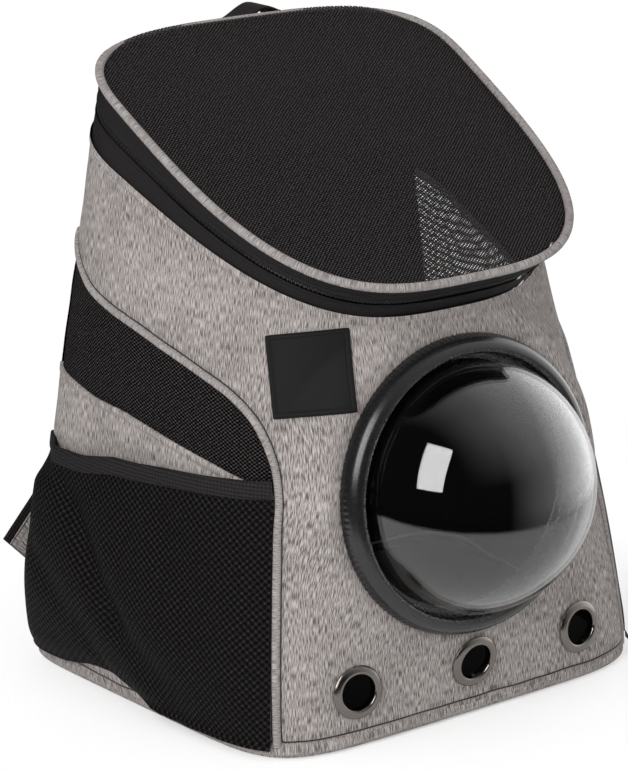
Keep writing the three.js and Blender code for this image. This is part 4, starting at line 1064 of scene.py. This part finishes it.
def strapGrid(thickness, width):
    drop, sideways = carry["strapTop"] - strapEnd[2], -strapEnd[0] - carry["strapInset"]
    places = [offBack(-(carry["strapInset"] + sideways * across), carry["strapTop"] - drop * down,
                      carry["gap"] + carry["strapReach"] * out) for down, out, across, _ in strapRun]
    inner = carry["strapWidth"] / 2 - carry["strapInset"]
    places[0][1] = behind(inner, carry["strapTop"], 3 * carry["gap"])[1]
    places += [strapEnd + webRun * carry["strapEnd"] / 3, strapEnd]
    t = np.linspace(0, 1, 160)
    line = curveThrough(places, len(t))
    widths = np.interp(t, np.arange(len(strapRun)) / (len(places) - 1), [row[3] for row in strapRun])
    size = carry["strapWidth"] * widths * (1 - t ** 6) + carry["strapEnd"] * t ** 6
    across = np.array([1.0, 0, 0]) * (1 - t[:, None] ** 2) + webDown * t[:, None] ** 2
    runs = unit(np.gradient(line, axis=0))
    runs[0], runs[-1] = np.array([0, 1.0, 0]), -webRun
    ends = 1 - 0.25 * np.exp(-t * 30) - 0.25 * np.exp(-(1 - t) * 30)
    return band(line, across, size * width, thickness * ends, runs, 36, 1.0)


def withEnds(grid):
    return [grid] + endCaps({**grid, "flip": not grid.get("flip", False)})


padding = {"width": 0.99, "wave": (0.5, 40, 71), "fill": 0.75}
tabFold = {"top": (0.5, 0.9, 0.012), "end": (0.5, 0.1, 0.012)}
for side, word in bothSides:
    away = np.array([0, 1.0, 0])
    pad = strapGrid(carry["strapThickness"], padding["width"])
    pad["points"] = pad["points"] + waves(pad["points"], padding["wave"])[..., None] * away
    strap = addPiece(f"shoulder strap {word}", sided(withEnds(pad), side), plainHeather,
             "heather_cloth", f"shoulder_strap_{word}")
    webLine = webStart + webRun * np.linspace(0, carry["webLength"], 60)[:, None]
    web = band(webLine, np.broadcast_to(webDown, webLine.shape), carry["webWidth"], carry["webThickness"])
    addPiece(f"strap web {word}", sided(withEnds(web), side), webbing,
             "black_webbing", f"strap_web_{word}")

    # Grey gusset: a soft folded plate with closed edges
    foot = tip + webDown * carry["tabDepth"]
    rootOut = carry["gap"] * 2 + carry["tabThickness"] / 2
    roots = [behind(p[0], p[2], rootOut) for p in (foot, foot + webRun * carry["tabLength"] / 2)]
    tops = [tip, tip + webRun * carry["tabLength"]]
    s, t = np.meshgrid(np.linspace(0, 1, 40), np.linspace(0, 1, 40), indexing="ij")
    plate = ((roots[0] * (1 - t[..., None]) + tops[0] * t[..., None]) * (1 - s[..., None])
             + (roots[1] * (1 - t[..., None]) + tops[1] * t[..., None]) * s[..., None])
    puff = carry["tabThickness"] / 2 * (1 - 0.3 * (2 * s - 1) ** 8) * (1 - 0.3 * (2 * t - 1) ** 8)
    puff = puff - ridge(t, tabFold["top"]) - ridge(s, tabFold["end"])
    flat = np.stack([s * carry["tabLength"], t * carry["tabDepth"]], -1)
    frontFace = {"points": plate - puff[..., None] * away, "flat": flat}
    backFace = {"points": plate + puff[..., None] * away, "flat": flat, "flip": True}
    rims = []
    for a, flip in ((np.s_[:, 0], False), (np.s_[:, -1], True), (np.s_[0, :], True), (np.s_[-1, :], False)):
        rims.append({"points": np.stack([frontFace["points"][a], backFace["points"][a]], 1),
                     "flat": np.stack([flat[a], flat[a] + 2], 1), "flip": flip})
    addPiece(f"strap tab {word}", sided([frontFace, backFace] + rims, side), plainHeather,
             "heather_cloth", f"strap_tab_{word}")

# One row per place along the handle: along, stand-off and rise as shares, and the share of its quarter turn
handleRun = [(-1, 0, 0, 0), (-0.99, 0.25, 0.3, 0.35), (-0.88, 0.8, 0.56, 0.9), (-0.45, 1, 0.7, 1),
             (0.1, 1, 0.86, 1), (0.6, 1, 0.99, 1), (0.9, 0.95, 0.9, 0.95), (1, 0.5, 0.55, 0.6),
             (1, 0.15, 0.22, 0.2), (1, 0, 0, 0)]
handleLine = curveThrough([
    offBack(handle["aside"] + a * handle["span"] / 2, handle["root"] + up * handle["rise"],
            handle["standOff"] + handle["thickness"] / 2 + out * handle["reach"])
    for a, out, up, _ in handleRun], 140)
share = np.linspace(0, 1, len(handleLine))
turnShare = np.interp(share, np.linspace(0, 1, len(handleRun)), [row[3] for row in handleRun]) * math.pi / 2
handleAcross = np.stack([np.where(share < 0.5, 1, -1) * np.cos(turnShare), np.sin(turnShare), 0 * share], -1)
handleBand = band(handleLine, handleAcross, carry["webWidth"], handle["thickness"], None, 24)
addPiece("carry handle", withEnds(handleBand), webbing, "black_webbing", "carry_handle")

# Pieces shown as they come from the part
for node, material in (("base_panel", plainHeather), ("zip_slider", nickel),
                       ("strap_buckle_left", blackPlastic), ("strap_buckle_right", blackPlastic)):
    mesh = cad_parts[node].data
    mesh.materials.clear()
    mesh.materials.append(material)
print("carrying parts ready")

# Floor that only takes shadows near the bag, and shows in mirrors up to its edge
floorMaterial, nodes, floorShader = newMaterial("floor", Base_Color=(0.9, 0.9, 0.9, 1), Roughness=0.9)
far = nodes.vector("LENGTH", nodes.add("TexCoord").outputs["Object"])
path = nodes.add("LightPath").outputs
fade = nodes.math("ADD", nodes.math("MULTIPLY", nodes.ramp(far, 0.06, 0.3), path["Is Camera Ray"]),
                  nodes.math("MULTIPLY", nodes.ramp(far, 0.5, 0.56), path["Is Glossy Ray"]))
nothing = nodes.add("BsdfTransparent")
nodes.surface(nodes.add("MixShader", {0: fade, 1: floorShader.outputs[0], 2: nothing.outputs[0]}))
bpy.ops.mesh.primitive_circle_add(vertices=96, radius=3, fill_type="NGON", location=(0, 0, -0.0005))
floor = bpy.context.object
floor.name = "floor"
floor.data.materials.append(floorMaterial)

# White to the camera, a soft room to the bag, and a brighter room with one side lit to its mirrors
world = bpy.data.worlds.new("studio")
bpy.context.scene.world = world
world.use_nodes = True
nodes = Nodes(world.node_tree)
background = nodes.tree.nodes["Background"]
path = nodes.add("LightPath").outputs
direction = nodes.add("SeparateXYZ", {0: nodes.add("TexCoord").outputs["Generated"]}).outputs
sideGlow = nodes.math("ADD", nodes.ramp(direction[0], 0.05, 0.95, 0.03, 1.3),
                      nodes.ramp(direction[0], 0.72, 0.97, 0.0, 1.1))
upGlow = nodes.math("MULTIPLY", nodes.ramp(direction[2], 0.25, 0.9, 0.0, 0.6),
                    nodes.ramp(direction[0], -0.55, 0.0))
lowGlow = nodes.math("MULTIPLY", sideGlow, nodes.ramp(direction[2], -0.55, -0.15, 0.35, 1.0))
roomGlow = nodes.math("ADD", upGlow, lowGlow)
softGlow = nodes.ramp(direction[2], -0.2, 0.9, 0.6, 0.9)
glossy = nodes.add("Mix", {0: path["Is Glossy Ray"], 2: softGlow, 3: roomGlow}).outputs[0]
strength = nodes.add("Mix", {0: path["Is Camera Ray"], 2: glossy, 3: 1.0}).outputs[0]
nodes.feed(background.inputs["Strength"], strength)
background.inputs["Color"].default_value = (1, 1, 1, 1)


def areaLight(name, place, aim, size, power, glossy=True):
    data = bpy.data.lights.new(name, "AREA")
    data.shape = "RECTANGLE"
    data.size, data.size_y = size
    data.energy = power
    light = bpy.data.objects.new(name, data)
    light.location = place
    light.rotation_mode = "QUATERNION"
    light.rotation_quaternion = (Vector(aim) - Vector(place)).to_track_quat("-Z", "Y")
    light.visible_glossy = glossy
    bpy.context.collection.objects.link(light)


areaLight("key", (-1.84, -0.87, 1.29), (-0.061, -0.18, 0.194), (0.95, 1.55), 40)
areaLight("front soft", (0.2, -2.4, 1.3), (0, 0, 0.15), (1.2, 1.2), 14, False)

# Camera fitted to the photo: angles in degrees, focal length and centre in the photo's pixels
photo = {"width": 628, "height": 771}
shot = {"azimuth": 35.02, "elevation": 17.492, "distance": 2.02523, "target": (0.054113, 0.066407, 0.159157),
        "roll": -0.841, "focal": 2857.976, "centreX": 354.502, "centreY": 392.769}
az, el, roll = (math.radians(shot[key]) for key in ("azimuth", "elevation", "roll"))
back = Vector((-math.sin(az) * math.cos(el), -math.cos(az) * math.cos(el), math.sin(el)))
right = Vector((math.cos(az), -math.sin(az), 0))
upward = back.cross(right)
rightRolled = right * math.cos(roll) + upward * math.sin(roll)
upRolled = upward * math.cos(roll) - right * math.sin(roll)
cameraData = bpy.data.cameras.new("camera")
camera = bpy.data.objects.new("camera", cameraData)
bpy.context.collection.objects.link(camera)
place = Vector(shot["target"]) + back * shot["distance"]
camera.matrix_world = Matrix((
    (rightRolled.x, upRolled.x, back.x, place.x), (rightRolled.y, upRolled.y, back.y, place.y),
    (rightRolled.z, upRolled.z, back.z, place.z), (0, 0, 0, 1)))
cameraData.sensor_width = 36
cameraData.lens = cameraData.sensor_width * shot["focal"] / photo["height"]
cameraData.shift_x = (photo["width"] / 2 - shot["centreX"]) / photo["height"]
cameraData.shift_y = (shot["centreY"] - photo["height"] / 2) / photo["height"]
cameraData.clip_start, cameraData.clip_end = 0.05, 50
bpy.context.scene.camera = camera
bpy.context.scene.view_settings.view_transform = "Standard"
